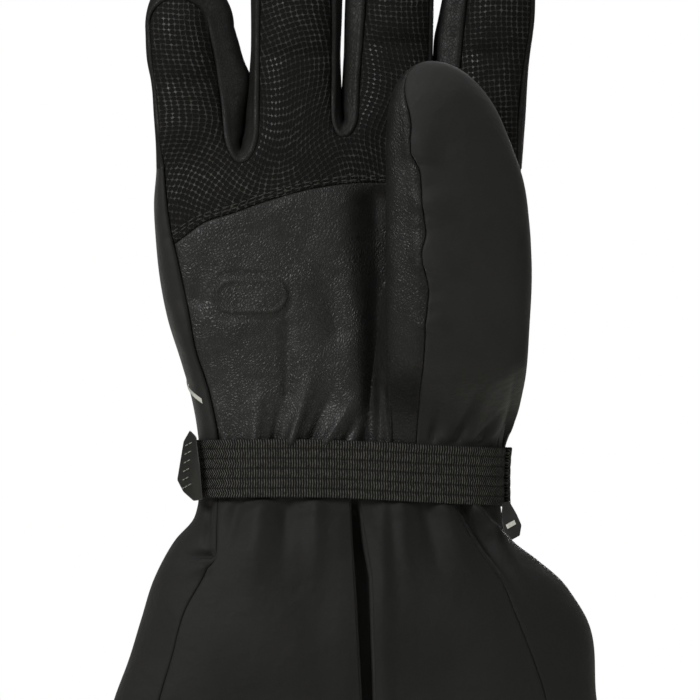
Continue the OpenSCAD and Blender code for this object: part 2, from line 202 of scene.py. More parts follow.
class Swell:
    """How far the sewn form swells when its cloth is blown up a little: one map for its front, one for its back.

    The closed form is a voxel mesh of the even body, held along its side seams, at the hem and under the strap.
    Blender's Cloth blows it up, and the panels take the movement from the maps, so their seams stay closed."""

    STEP = 2.5
    LOW, HIGH = np.array([-100.0, -5.0]), np.array([350.0, 320.0])
    AWAY = 200.0  # how far the thumb is put to the side, to be blown up on its own
    VOXEL, PRESSURE, FRAMES, MOST = 4.5, 4.0, 20, 1.9

    def __init__(self, tubes):
        self.maps = None
        V, F = [], []
        for rings in tubes:
            rows, cols = rings.shape[:2]
            first = len(V)
            V += (rings.reshape(-1, 3) * MM).tolist()
            for r in range(rows - 1):
                for c in range(cols):
                    d = (c + 1) % cols
                    corners = (r * cols + c, r * cols + d, (r + 1) * cols + d, (r + 1) * cols + c)
                    F.append(tuple(first + k for k in corners))
            F.append(tuple(first + c for c in range(cols - 1, -1, -1)))
            F.append(tuple(first + (rows - 1) * cols + c for c in range(cols)))
        data = bpy.data.meshes.new("form")
        data.from_pydata(V, [], F)
        obj = add("form", data)
        remesh = obj.modifiers.new("voxels", "REMESH")
        remesh.mode, remesh.voxel_size = "VOXEL", self.VOXEL * MM
        data = bpy.data.meshes.new_from_object(obj.evaluated_get(bpy.context.evaluated_depsgraph_get()))
        obj.modifiers.clear()
        obj.data = data
        start, normal = np.empty(len(data.vertices) * 3), np.empty(len(data.vertices) * 3)
        data.vertices.foreach_get("co", start)
        data.vertices.foreach_get("normal", normal)
        start, normal = start.reshape(-1, 3) / MM, normal.reshape(-1, 3)
        x, z = start[:, 0], start[:, 2]
        held = (np.abs(normal[:, 1]) < 0.45) | (z < 9) | ((z > 84) & (z < 115))
        held |= (np.abs(z - palm_seam(x)) < 3) & (normal[:, 1] < 0) & (x < 100)
        group = obj.vertex_groups.new(name="held")
        group.add(np.flatnonzero(held).tolist(), 1.0, "REPLACE")
        cloth = obj.modifiers.new("cloth", "CLOTH")
        cloth.settings.vertex_group_mass = "held"
        cloth.settings.use_pressure = True
        cloth.settings.uniform_pressure_force = self.PRESSURE
        cloth.settings.quality = 5
        cloth.settings.effector_weights.gravity = 0.0
        for number in range(1, self.FRAMES + 1):
            bpy.context.scene.frame_set(number)
        blown = obj.evaluated_get(bpy.context.evaluated_depsgraph_get()).data
        end = np.empty(len(start) * 3)
        blown.vertices.foreach_get("co", end)
        move = end.reshape(-1, 3)[:, 1] / MM - start[:, 1]
        move = self.MOST * np.tanh(move / self.MOST)
        bpy.data.objects.remove(obj)
        bpy.context.scene.frame_set(1)
        size = tuple(((self.HIGH - self.LOW) / self.STEP).astype(int) + 1)
        self.maps = []
        for facing in (-1, 1):
            pick = normal[:, 1] * facing > 0.1
            at = np.round((start[pick][:, [0, 2]] - self.LOW) / self.STEP).astype(int)
            sums = np.stack([np.zeros(size), np.full(size, 1e-4)])
            np.add.at(sums[0], (at[:, 0], at[:, 1]), move[pick])
            np.add.at(sums[1], (at[:, 0], at[:, 1]), 1.0)
            for axis in (1, 2) * 3:
                sums = sums + 0.5 * (np.roll(sums, 1, axis) + np.roll(sums, -1, axis))
            self.maps.append(sums[0] / sums[1])

    def look(self, grid, x, z):
        a, b = (x - self.LOW[0]) / self.STEP, (z - self.LOW[1]) / self.STEP
        i, j = np.floor(a).astype(int), np.floor(b).astype(int)
        a, b = a - i, b - j
        near = grid[i, j] * (1 - a) * (1 - b) + grid[i + 1, j] * a * (1 - b)
        return near + grid[i, j + 1] * (1 - a) * b + grid[i + 1, j + 1] * a * b

    def moved(self, P, name):
        """Points P of the named piece after the cloth has swelled."""
        if self.maps is None:
            return P
        thumb = name.startswith("thumb")
        x, y, z = P[..., 0] + (self.AWAY if thumb else 0), P[..., 1], P[..., 2]
        middle = -26.0 if thumb else MID
        to_back = ease(middle - 5, middle + 5, y)
        swell = mix(self.look(self.maps[0], x, z), self.look(self.maps[1], x, z), to_back)
        if thumb:
            swell = swell * ease(118, 145, z)
        P = P.copy()
        P[..., 1] += swell
        return P


def shell(
    name, P, material, out, thick=0.8, roll="lrbt", deep=0.7, wide=1.0, pat=None, closed=False, masks=(), bead=0.0
):
    """Closed sheet of cloth whose outer face is the grid P, with the named edges rolled in.

    out is a point inside the form, or a direction such as (0, -1, 0) with a fourth number 1.
    masks fade the roll of the left and right edge by row, and bead raises a soft cord beside those edges.
    A closed grid's last column joins its first."""
    P = SWELL.moved(np.array(P, float), name)
    rows, cols = P.shape[:2]
    W = np.concatenate([P[:, -1:], P, P[:, :1]], 1) if closed else P
    N = grid_normals(W)[:, 1:-1] if closed else grid_normals(W)
    look = np.array(out[:3]) if len(out) == 4 else P - np.array(out)
    if np.sum(N * look) < 0:
        N = -N
    across = np.linalg.norm(np.diff(P, axis=1), axis=2)
    along = np.linalg.norm(np.diff(P, axis=0), axis=2)
    none_row, none_column = np.zeros((1, cols)), np.zeros((rows, 1))
    away = {
        "l": np.concatenate([none_column, across.cumsum(1)], 1),
        "r": np.concatenate([across[:, ::-1].cumsum(1)[:, ::-1], none_column], 1),
        "b": np.concatenate([none_row, along.cumsum(0)]),
        "t": np.concatenate([along[::-1].cumsum(0)[::-1], none_row]),
    }
    drop = np.zeros((rows, cols))
    for edge in roll:
        t = 1 - np.minimum(away[edge] / wide, 1)
        fall = deep * (1 - np.sqrt(1 - t * t))
        if edge in masks:
            fall = fall * masks[edge][:, None]
        drop = np.maximum(drop, fall)
        if bead and edge in "lr":
            P = P + N * (bead * bell(away[edge] - 1.7, 1.0))[..., None]
    outer = P - N * drop[..., None]
    inner = P - N * max(thick, deep + 0.15)
    V = np.concatenate([outer.reshape(-1, 3), inner.reshape(-1, 3)])
    ident = np.arange(rows * cols).reshape(rows, cols)
    if closed:
        ident = np.concatenate([ident, ident[:, :1]], 1)
    a, b, c, d = (q.ravel() for q in (ident[:-1, :-1], ident[:-1, 1:], ident[1:, 1:], ident[1:, :-1]))
    n = rows * cols
    faces = [*zip(a, b, c, d), *zip(d + n, c + n, b + n, a + n)]
    rims = [ident[0], ident[-1][::-1]]
    if not closed:
        rims += [ident[::-1, 0], ident[:, -1]]
    sharp = []
    for line in rims:
        for p, q in zip(line[:-1], line[1:]):
            faces.append((q, p, p + n, q + n))
            sharp.append((int(p), int(q)))
    faces = [tuple(int(k) for k in f) for f in faces]
    pat = P if pat is None else np.asarray(pat, float)
    if pat.shape[-1] == 2:
        pat = np.concatenate([pat, np.zeros((rows, cols, 1))], 2)
    rest, pat = (np.concatenate([q.reshape(-1, 3)] * 2) for q in (P, pat))
    return mesh(name, V, faces, material, rest, pat, sharp)


def plate(name, outline, material, front, thick, bevel):
    """Bevelled plate with an outline in X and Z, whose front face lies at Y = front(x, z)."""
    bm = bmesh.new()
    corners = [bm.verts.new((x * MM, 0, z * MM)) for x, z in outline]
    face = bm.faces.new(corners)
    out = bmesh.ops.extrude_face_region(bm, geom=[face])
    moved = [g for g in out["geom"] if isinstance(g, bmesh.types.BMVert)]
    bmesh.ops.translate(bm, verts=moved, vec=(0, thick * MM, 0))
    bmesh.ops.recalc_face_normals(bm, faces=bm.faces)
    bmesh.ops.bevel(bm, geom=list(bm.edges), offset=bevel * MM, segments=3, affect="EDGES", profile=0.6)
    for v in bm.verts:
        v.co.y += float(front(v.co.x / MM, v.co.z / MM)) * MM
    for f in bm.faces:
        f.smooth = True
    data = bpy.data.meshes.new(name)
    bm.to_mesh(data)
    bm.free()
    co = np.array([v.co for v in data.vertices]) / MM
    keep(data, co, co[:, [0, 2, 1]])
    data.materials.append(material)
    return add(name, data)


def stitches(name, path, material, length=2.3, gap=0.9, radius=0.22, sink=0.05, up=(0, -1, 0)):
    """Row of thread stitches along a path of points."""
    path = SWELL.moved(np.array(path, float), name)
    step = np.linalg.norm(np.diff(path, axis=0), axis=1)
    run = np.concatenate([[0], step.cumsum()])
    V, F = [], []
    up = np.array(up, float)
    place = gap
    while place + length < run[-1]:
        start, end = (np.array([np.interp(q, run, path[:, k]) for k in range(3)]) for q in (place, place + length))
        way = (end - start) / np.linalg.norm(end - start)
        side = np.cross(way, up)
        side /= np.linalg.norm(side)
        high = np.cross(side, way)
        first = len(V)
        shape = [(-0.04, 0.15), (0.04, 0.7), (0.2, 1), (0.5, 1.1), (0.8, 1), (0.96, 0.7), (1.04, 0.15)]
        for share, wide in shape:
            lift = radius * (0.9 * math.sin(math.pi * min(max(share, 0), 1)) - 0.3) - sink
            middle = start + way * length * share + high * lift
            for k in range(6):
                turn = k * math.pi / 3
                V.append(middle + radius * wide * (side * math.cos(turn) + high * math.sin(turn) * 0.8))
        for ring in range(len(shape) - 1):
            for k in range(6):
                a, b = first + ring * 6 + k, first + ring * 6 + (k + 1) % 6
                F.append((a, b, b + 6, a + 6))
        F.append(tuple(first + k for k in range(5, -1, -1)))
        F.append(tuple(first + (len(shape) - 1) * 6 + k for k in range(6)))
        place += length + gap
    return mesh(name, V, F, material, V, V)


# ---------------------------------------------------------------- materials
class Paint:
    """A procedural material built up from a few kinds of node. Places are millimetres at rest."""

    def __init__(self, name, roughness, **levels):
        self.material = bpy.data.materials.new(name)
        self.material.use_nodes = True
        self.tree = self.material.node_tree
        self.base = self.tree.nodes["Principled BSDF"]
        self.base.inputs["Roughness"].default_value = roughness
        for key, value in levels.items():
            self.base.inputs[key.replace("_", " ")].default_value = value
        self.rest = self.node("ShaderNodeAttribute", attribute_name="rest").outputs["Vector"]
        self.pat = self.node("ShaderNodeAttribute", attribute_name="pat").outputs["Vector"]

    def node(self, kind, inputs=(), **settings):
        made = self.tree.nodes.new(kind)
        for key, value in settings.items():
            setattr(made, key, value)
        for key, value in dict(inputs).items():
            if isinstance(value, bpy.types.NodeSocket):
                self.tree.links.new(value, made.inputs[key])
            else:
                made.inputs[key].default_value = value
        return made

    def maths(self, operation, a, b=0.0, clamp=False):
        return self.node("ShaderNodeMath", {0: a, 1: b}, operation=operation, use_clamp=clamp).outputs[0]

    def times(self, a, b):
        return self.maths("MULTIPLY", a, b)

    def plus(self, a, b):
        return self.maths("ADD", a, b)

    def off_half(self, value):
        """How far a value is from 0.5."""
        return self.maths("ABSOLUTE", self.maths("SUBTRACT", value, 0.5))

    def noise(self, scale, detail=2.0, rough=0.5, where=None, end="Fac"):
        inputs = {"Vector": where or self.rest, "Scale": scale, "Detail": detail, "Roughness": rough}
        return self.node("ShaderNodeTexNoise", inputs).outputs[end]

    def shaken(self, where, scale, detail, most):
        """Places moved about by a noise."""
        shift = self.noise(scale, detail, where=where, end="Color")
        shift = self.node("ShaderNodeVectorMath", {0: shift, 3: most}, operation="SCALE").outputs[0]
        return self.node("ShaderNodeVectorMath", {0: where, 1: shift}, operation="ADD").outputs[0]

    def cells(self, scale, feature="F1", where=None):
        inputs = {"Vector": where or self.rest, "Scale": scale}
        return self.node("ShaderNodeTexVoronoi", inputs, feature=feature).outputs["Distance"]

    def ranged(self, value, a, b, c=0.0, d=1.0):
        inputs = {"Value": value, "From Min": a, "From Max": b, "To Min": c, "To Max": d}
        return self.node("ShaderNodeMapRange", inputs, interpolation_type="SMOOTHSTEP").outputs[0]

    def split(self, where):
        return self.node("ShaderNodeSeparateXYZ", {0: where}).outputs

    def blend(self, share, dark, light):
        made = self.node("ShaderNodeMix", {"Factor": share}, data_type="RGBA")
        for slot, tone in ((6, dark), (7, light)):
            if isinstance(tone, bpy.types.NodeSocket):
                self.tree.links.new(tone, made.inputs[slot])
            else:
                tone = (tone, tone * 0.995, tone * 0.89) if isinstance(tone, float) else tone
                made.inputs[slot].default_value = (*tone, 1)
        return made.outputs[2]

    def bump(self, height, depth, strength=1.0, over=None):
        inputs = {"Height": height, "Distance": depth * MM, "Strength": strength}
        if over is not None:
            inputs["Normal"] = over
        return self.node("ShaderNodeBump", inputs).outputs[0]

    def done(self, colour, normal=None, roughness=None):
        ends = {"Base Color": colour, "Normal": normal, "Roughness": roughness}
        for key, value in ends.items():
            if value is not None:
                self.tree.links.new(value, self.base.inputs[key])
        return self.material


def leather(name, dark, light, depth=0.12, gloss=0.52, shine=0.45):
    """Goat leather: small drawn-out pebbles with creases between them."""
    p = Paint(name, shine, Specular_IOR_Level=gloss)
    warp = p.shaken(p.rest, 0.16, 1.0, 4.0)
    drawn = {"Vector": warp, "Rotation": (0, 0.5, 0), "Scale": (1.15, 1.0, 0.9)}
    slim = p.node("ShaderNodeMapping", drawn).outputs[0]
    pebble = p.ranged(p.cells(0.95, "DISTANCE_TO_EDGE", slim), 0.0, 0.34)
    crease = p.noise(0.2)
    line = p.ranged(p.off_half(p.noise(0.09, where=slim)), 0.0, 0.022)
    coarse = p.ranged(p.noise(0.07), 0.38, 0.62, 0.45, 1.0)
    normal = p.bump(line, 0.05, 0.6, p.bump(crease, 0.35, 0.5, p.bump(p.noise(0.05, 1.0), 2.0, 0.5)))
    normal = p.bump(p.times(pebble, coarse), depth, 1.0, normal)
    # the pebbles' edges and the low parts of the crease noise are coloured darker: painted shade in the creases of the
    # grain
    share = p.times(p.ranged(pebble, 0.0, 0.6, 0.1, 1.0), p.ranged(crease, 0.3, 0.7, 0.6, 1.0))
    worn = p.ranged(p.noise(0.3), 0.3, 0.7, shine - 0.05, shine + 0.08)
    return p.done(p.blend(share, dark, light), normal, p.plus(p.ranged(pebble, 0.0, 0.45, 0.2, 0.0), worn))


def grip(name, pitch=1.78, square=2.7):
    """Leather with a raised thin net around small pits, between round and square."""
    p = Paint(name, 0.42, Specular_IOR_Level=0.24)
    x, z, _ = p.split(p.shaken(p.pat, 0.3, 2.0, 1.0))
    parts = []
    for value in (x, z):
        cell = p.maths("FRACT", p.times(value, 1 / pitch))
        parts.append(p.maths("POWER", p.off_half(cell), square))
    net = p.ranged(p.maths("POWER", p.plus(*parts), 1 / square), 0.38, 0.51)
    # the net's tone is varied by two noises that stand in for glints on the raised net: painted highlight
    uneven = p.ranged(p.noise(0.6, 2.0, 0.6), 0.35, 0.7, 0.1, 1.0)
    net_glints_and_film_wear = p.ranged(p.noise(0.06), 0.35, 0.65, 0.25, 1.0)
    top = p.blend(p.times(uneven, net_glints_and_film_wear), 0.011, 0.075)
    normal = p.bump(net, 0.32, 1.0, p.bump(p.noise(1.2), 0.2, 0.6, p.bump(p.noise(0.06), 1.8, 0.4)))
    # the raised net is coloured lighter than the pits: painted highlight on the net and painted shade in the pits
    return p.done(p.blend(net, 0.004, top), normal, p.ranged(net, 0.0, 1.0, 0.85, 0.34))


def softshell(name, dark, light, sheen=0.25, shine=0.62, pitch=0.42):
    """Finely woven outer cloth."""
    p = Paint(name, shine, Specular_IOR_Level=0.35, Sheen_Weight=sheen, Sheen_Roughness=0.45)
    x, z, _ = p.split(p.pat)
    weave = [p.maths("SINE", p.times(p.plus(a, p.times(b, 0.5)), WAVE / pitch)) for a, b in ((x, z), (z, x))]
    mottle = p.noise(0.9, 4.0, 0.7)
    normal = p.bump(mottle, 0.2, 0.5, p.bump(p.noise(0.07, 3.0, 0.55), 2.2, 0.5))
    normal = p.bump(p.times(*weave), 0.06, 0.35, normal)
    broad = p.ranged(p.noise(0.02), 0.35, 0.65)
    share = p.plus(p.times(p.ranged(mottle, 0.25, 0.75), 0.5), p.times(broad, 0.5))
    return p.done(p.blend(share, dark, light), normal, p.ranged(mottle, 0.2, 0.8, shine - 0.06, shine + 0.08))


def ribbed(name, dark, light, pitch=0.86, bands=6 / 20):
    """Elastic webbing: fine upright ribs crossed by six bands, with a herringbone look at both ends."""
    p = Paint(name, 0.7, Specular_IOR_Level=0.2)
    x, z, reach = p.split(p.pat)
    band = p.off_half(p.maths("FRACT", p.times(z, bands)))
    slant = p.times(band, p.plus(p.times(reach, 2.6), 0.35))
    rib = p.ranged(p.maths("SINE", p.times(p.plus(x, slant), WAVE / pitch)), -0.5, 0.9)
    height = p.times(p.ranged(band, 0.32, 0.5, 1.0, 0.3), rib)
    uneven = p.noise(0.9, 3.0, 0.7)
    # the colour follows the ribs' height: painted highlight on the ribs and painted shade between them and along the
    # band lines
    share = p.times(height, p.ranged(uneven, 0.3, 0.7, 0.3, 1.0))
    return p.done(p.blend(share, dark, light), p.bump(height, 0.4, 1.0, p.bump(uneven, 0.2, 0.5)))


def knit(name, dark, light, pitch=0.8, sheen=0.3):
    """Brushed or looped cloth, for the lining and for hook and loop."""
    p = Paint(name, 0.85, Specular_IOR_Level=0.2, Sheen_Weight=sheen)
    loops = p.ranged(p.cells(1 / pitch), 0.1, 0.7, 1.0, 0.0)
    height = p.plus(loops, p.times(p.noise(3.0, 4.0, 0.8), 0.7))
    share = p.maths("MULTIPLY", height, 0.6, True)
    return p.done(p.blend(share, dark, light), p.bump(height, 0.35, 0.8))


def moulded(name, dark, light):
    """Rubber from a fine-grained mould."""
    p = Paint(name, 0.4, Specular_IOR_Level=0.5, Coat_Weight=0.1)
    fine, broad = p.noise(2.6, 3.0, 0.7), p.noise(0.12)
    normal = p.bump(fine, 0.07, 0.6, p.bump(broad, 0.5, 0.2))
    return p.done(p.blend(p.ranged(broad, 0.3, 0.7), dark, light), normal, p.ranged(fine, 0.3, 0.7, 0.34, 0.5))


def tape(name, dark, light, slope=0.6, pitch=0.7):
    """Woven binding tape and thread."""
    p = Paint(name, 0.6, Specular_IOR_Level=0.4)
    x, z, y = p.split(p.pat)
    turn = p.times(p.plus(p.plus(x, y), p.times(z, slope)), WAVE / pitch)
    rib, uneven = p.ranged(p.maths("SINE", turn), -0.8, 0.8), p.noise(0.8, 3.0)
    share = p.times(rib, p.ranged(uneven, 0.2, 0.8, 0.6, 1.0))
    return p.done(p.blend(share, dark, light), p.bump(rib, 0.15, 0.7, p.bump(uneven, 0.2, 0.4)))


def glint(name):
    """Silver-grey reflective film with fine glass beads."""
    p = Paint(name, 0.35, Specular_IOR_Level=0.7, Metallic=0.15)
    net_glints_and_film_wear = p.ranged(p.noise(0.6, 4.0, 0.7), 0.25, 0.8)
    return p.done(p.blend(net_glints_and_film_wear, 0.62, 0.86), p.bump(p.cells(5.0), 0.05, 0.5))


GRIP = grip("grip_leather")
PALM = leather("palm_leather", 0.003, 0.0135)
# the palm's leather painted darker for the thumb, which faces the key light: painted shade
SHADED_THUMB_LEATHER = leather("thumb_leather", 0.003, 0.0105, gloss=0.4)
SIDE = leather("side_leather", 0.005, 0.011, depth=0.05, gloss=0.35, shine=0.5)
CLOTH = softshell("softshell", 0.0045, 0.0115)
CUFF = softshell("gauntlet_cloth", 0.0035, 0.009, sheen=0.12, shine=0.66)
WEB = ribbed("webbing", 0.0015, 0.125)
LINING = knit("lining", 0.02, 0.06, pitch=1.1)
HOOKS = knit("hook_and_loop", 0.006, 0.02, pitch=0.6, sheen=0.1)
RUBBER = moulded("moulded_rubber", 0.012, 0.02)
BINDING = tape("binding", 0.006, 0.018)
THREAD = tape("thread", 0.02, 0.075, slope=0.2)
PALE = tape("pale_thread", 0.16, 0.4, slope=0.2)
GLINT = glint("reflective")


def attach(piece, body, nodes, slot):
    """body is one name, or (first body, second body, start height, end height) for cloth over a fold, which is only
    baked in place and tied to neither body.
    """
    if isinstance(body, str):
        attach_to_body(piece, body)
    else:
        a, b, low, high = body
        low = low if isinstance(low, tuple) else (0, 0, low)
        high = high if isinstance(high, tuple) else (0, 0, high)
        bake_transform(piece)
    if nodes:
        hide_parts(*nodes)
    return piece


def sew(name, P, material, body, nodes, slot=None, **more):
    """Panel of cloth on its body, with the nodes it stands for hidden."""
    return attach(shell(name, P, material, **more), body, nodes, slot or material.name.split(".")[0])


# ---------------------------------------------------------------- form of the hand
hand_left = curve(
    (90, -51.4), (112, -51.8), (126, -54.1), (139, -57.8), (153, -62.2), (166, -64.8),
    (180, -66.3), (193, -66.9), (204, -66.1), (212, -66.3), (222, -67),
)
hand_right = curve((90, 49.6), (112, 50.2), (126, 53), (150, 55.2), (200, 56.8), (220, 58.5))
half_depth = curve((90, 19.8), (104, 19.6), (150, 18.6), (204, 15.8), (220, 13.6), (235, 12.6), (310, 12.2))
side_seam = curve(
    (92, -43), (119, -46.1), (132, -49.2), (141, -52.3), (157, -55.4),
    (172, -58.6), (184.6, -61.4), (194, -62.6), (204, -63.4),
)
palm_seam = curve(
    (-66, 177), (-59.5, 180.9), (-52.4, 185.3), (-41.2, 188.9), (-28.1, 193.3),
    (-13.8, 197.1), (-2.7, 198.7), (12, 199), (58, 198.6),
)
thumb_valley = curve((108, 4.6), (122, 6.0), (140, 8.0), (173, 9.2), (198, 8.6))
HAND_POWER = 2.6
EDGE_POWER = 0.9
PALM_FOLDS = (
    (-20.6, 112, -13.2, 134, 2.0, 1.3), (-8.8, 112, 1.0, 126, 1.7, 1.0), (-33, 112, -31, 128, 2.2, 0.8),
    (-43, 112, -47, 127, 1.8, 0.7), (-26.5, 112, -24, 124, 1.2, -0.7), (-14, 112, -7.5, 128, 1.3, -0.8),
    (-2.5, 112, 3, 122, 1.2, -0.7), (-22, 128, -21.5, 162, 1.8, -0.5), (-40, 150, -12, 172, 5, 0.5),
    (-5, 150, -14, 180, 4, -0.4), (-52, 160, -44, 184, 3.5, -0.5),
)
# where the grip leather is pulled round: x, z, reach and most turn
SWIRLS = ((-44, 203, 24, 0.62), (-14, 208, 17, -0.6), (-24, 250, 20, -0.35), (14, 222, 18, 0.4))


def palm_front(x, z):
    left, right = hand_left(z), hand_right(z)
    s = np.abs((x - (left + right) / 2) / ((right - left) / 2))
    return MID - half_depth(z) * (1 - np.clip(s, 0, 1) ** HAND_POWER) ** (1 / HAND_POWER)


def palm_relief(x, z):
    """How far the palm stands proud of its even form: the thumb's valley, the folds at the strap, a ring."""
    away = x - thumb_valley(z)
    high = 1.1 * bell(away + 9, 6) * ease(200, 150, z)
    away = away / np.where(away < 0, mix(6.5, 2.6, ease(185, 125, z)), 2.0)
    deep = np.where(away < 0, bell(away, 1), 1.0) * ease(40, 24, x)
    high = high - mix(3.2, 5.0, ease(140, 185, z)) * deep * ease(203, 193, z)
    high = high + folds(x, z, PALM_FOLDS, 2.6) + 0.4 * ripple(x, z, 34, 0.4) + 0.05 * ripple(x, z, 9, 2.0)
    # pull of the seam across the palm
    high = high - 0.5 * bell(z - palm_seam(x), 2.4)
    # plain capsule-shaped ring pressed into the leather
    out = np.hypot(np.maximum(np.abs(x + 34) - 6.5, 0), z - 161) - 5.2
    high = high + 0.5 * bell(out, 0.7) - 0.35 * ease(1.8, 0.9, np.abs(out - 1.9)) * ease(0, 0.6, out)
    return high * ease(JOIN, JOIN - 10, z) * ease(90, 112, z)


def palm_points(x, z):
    return points(x, palm_front(x, z) - palm_relief(x, z), z)


def net_place(P):
    """Where the grip's rows and columns run: turned a little round four places, as the leather is pulled."""
    x, z = P[..., 0], P[..., 2]
    a, b = x + 0.9 * np.sin(z / 13 + 0.6), z + 1.2 * np.sin(x / 12 + 0.4)
    for at_x, at_z, reach, most in SWIRLS:
        dx, dz = a - at_x, b - at_z
        turn = most * bell(np.hypot(dx, dz), reach)
        a, b = at_x + dx * np.cos(turn) - dz * np.sin(turn), at_z + dx * np.sin(turn) + dz * np.cos(turn)
    return np.stack([a, b], -1)


def wrap(F, S, columns=15):
    """Grid from the seam F over the edge line S and on to F mirrored at the back. S holds X and Z."""
    turn = np.linspace(0, math.pi, 2 * columns + 1)
    turn = turn - 0.12 * np.sin(2 * turn)
    c, lift = rounded(turn, EDGE_POWER)
    x = F[:, :1] + (S[:, :1] - F[:, :1]) * lift
    z = F[:, 2:] + (S[:, 1:] - F[:, 2:]) * lift
    return points(x, MID - (MID - F[:, 1:2]) * c, z)


def run_of(P):
    """Lengths along the rows and columns of a grid, for patterns that follow it."""
    u = np.concatenate([np.zeros((P.shape[0], 1)), np.linalg.norm(np.diff(P, axis=1), axis=2).cumsum(1)], 1)
    v = np.concatenate([np.zeros((1, P.shape[1])), np.linalg.norm(np.diff(P, axis=0), axis=2).cumsum(0)])
    return np.stack([u - u.mean(), v], -1)


# ---------------------------------------------------------------- fingers
# Each valley between two fingers: x and z where its U begins, how high the U's curve is, and the height
# where the fingers' own form begins. OUTSIDE stands for a side without a neighbour.
VALLEYS = [(-37.6, 205.7, 12, JOIN), (-3.0, 214.4, 8, 207.4), (28.4, 213, 8, 206)]
OUTSIDE = (0, 206, 0, JOIN)
fingers = {
    "little": dict(
        seam_left=curve((204, -63.4), (212, -65), (222, -65.7), (240, -67.7), (252, -68.6)),
        seam_right=curve((204, -42.4), (223, -43.7), (232, -44.9), (243, -46.7), (252, -48.6)),
        left=curve((204, -66.1), (212, -66.3), (222, -67), (233.5, -67.9), (240, -69.2), (252, -69.9)),
        right=curve((204, -37.2), (222, -36.0), (236, -34.6), (240, -36.3), (247, -38.3), (252, -39.8)),
        start=252, top=(-59.5, 261.4), tip=(-57.5, 270), split=224.6, low=(209.2, 224), fold=236,
    ),
    "ring": dict(
        seam_left=curve((204, -31.7), (236, -31.5), (272, -31.3)),
        seam_right=curve((204, -6.9), (260, -6.8), (272, -7)),
        left=curve((204, -37.2), (222, -36.0), (236, -34.6), (272, -34.3)),
        right=curve((204, -3.2), (228, -3.5), (240, -3.9), (254, -3.4), (272, -3)),
        start=272, top=(-18.8, 281.5), tip=(-18.5, 290), split=232, low=(218, 231), fold=245,
    ),
    "middle": dict(
        seam_left=curve((204, 1.8), (221, 2), (233, 2.3), (248, 3.5), (260, 4.4), (284, 5)),
        seam_right=curve((204, 25.6), (240, 25.9), (284, 26.8)),
        left=curve((204, -3.2), (228, -3.5), (240, -2.9), (254, -2.6), (284, -1.4)),
        right=curve((204, 28), (240, 27.2), (249, 27.4), (284, 28)),
        start=284, top=(14.5, 293.5), tip=(13.3, 302), split=235.6, low=(218, 235), fold=249,
    ),
    "index": dict(
        seam_left=curve((204, 34.5), (237, 36.2), (246, 37), (260, 38.4), (271, 39.4)),
        seam_right=curve((204, 55.7), (216, 56), (233, 57.3), (255, 60.4), (271, 60.9)),
        left=curve((204, 28), (240, 27.2), (249, 27.8), (254, 28.9), (271, 32.2)),
        right=curve((204, 57.3), (220, 58.5), (240, 59.8), (254, 61.6), (271, 61.9)),
        start=271, top=(49.5, 280.5), tip=(48, 289), split=232.6, low=(216, 232), fold=246,
    ),
}
ORDER = list(fingers)


def valleys_of(name):
    """The valleys on a finger's left (0) and right (1), where it has a neighbour."""
    first = ORDER.index(name) - 1
    return {side: VALLEYS[first + side] for side in (0, 1) if 0 <= first + side < len(VALLEYS)}


def finger_outline(name, z, turns):
    """Seams and edge lines of a finger at heights z, and then over its tip at angles turns."""
    f = fingers[name]
    z0 = np.concatenate([z, np.full(len(turns), f["start"])])
    a = np.concatenate([np.zeros(len(z)), turns])
    seams, edges = [], []
    for side, key in enumerate(("left", "right")):
        x, edge_x, edge_z = f["seam_" + key](z0), f[key](z0), z0
        if side in valleys_of(name):
            ux, uz, uh, _ = valleys_of(name)[side]
            t = np.clip((z0 - uz) / uh, 0, 1)
            x = mix(x, ux, 1 - np.sqrt(1 - (1 - t) ** 2))
            edge_x = mix(ux, edge_x, ease(uz, uz + 8, z0))
            edge_z = z0 + 6.5 * (1 - ease(uz - 1, uz + 15, z0))
        seams.append(f["top"][0] + (x - f["top"][0]) * np.cos(a))
        edge_x = f["tip"][0] + (edge_x - f["tip"][0]) * np.cos(a)
        edges.append(np.stack([edge_x, edge_z + (f["tip"][1] - f["start"]) * np.sin(a)], -1))
    height = z0 + (f["top"][1] - f["start"]) * np.sin(a)
    return seams, edges, height, a


def finger_face(name, z, turns):
    """Front face of a finger between its seams. The back is its mirror image."""
    f = fingers[name]
    seams, edges, height, a = finger_outline(name, z, turns)
    height, a = height[:, None], a[:, None]
    share = places(np.max(seams[1] - seams[0]), 0.8)
    x = mix(seams[0][:, None], seams[1][:, None], share)
    sides = [valleys_of(name).get(side, OUTSIDE) for side in (0, 1)]
    own = mix(*(ease(begin, low + 13, height) for _, low, _, begin in sides), share)
    drop = mix(*(mix(0.8, 5.2, ease(low - 2, low + 22, height)) for _, low, _, _ in sides), share)
    r = np.sqrt(((2 * share - 1) * np.cos(a)) ** 2 + np.sin(a) ** 2)
    drop = mix(drop, 3.0, np.sin(a) ** 2)
    slim = 1 - 0.14 * ease(f["start"] - 8, f["tip"][1], height)
    lumps = 0.5 * np.sin((height - f["fold"]) / 5.5) * (1 - r**2)
    fold = -1.1 * bell(height - f["fold"] + 3, 2.4) * (1 - r**3)
    y = MID - (half_depth(height) * slim - drop * r**2.5) - (lumps + fold) * own
    return points(x, mix(palm_front(x, height), y, own), height), edges


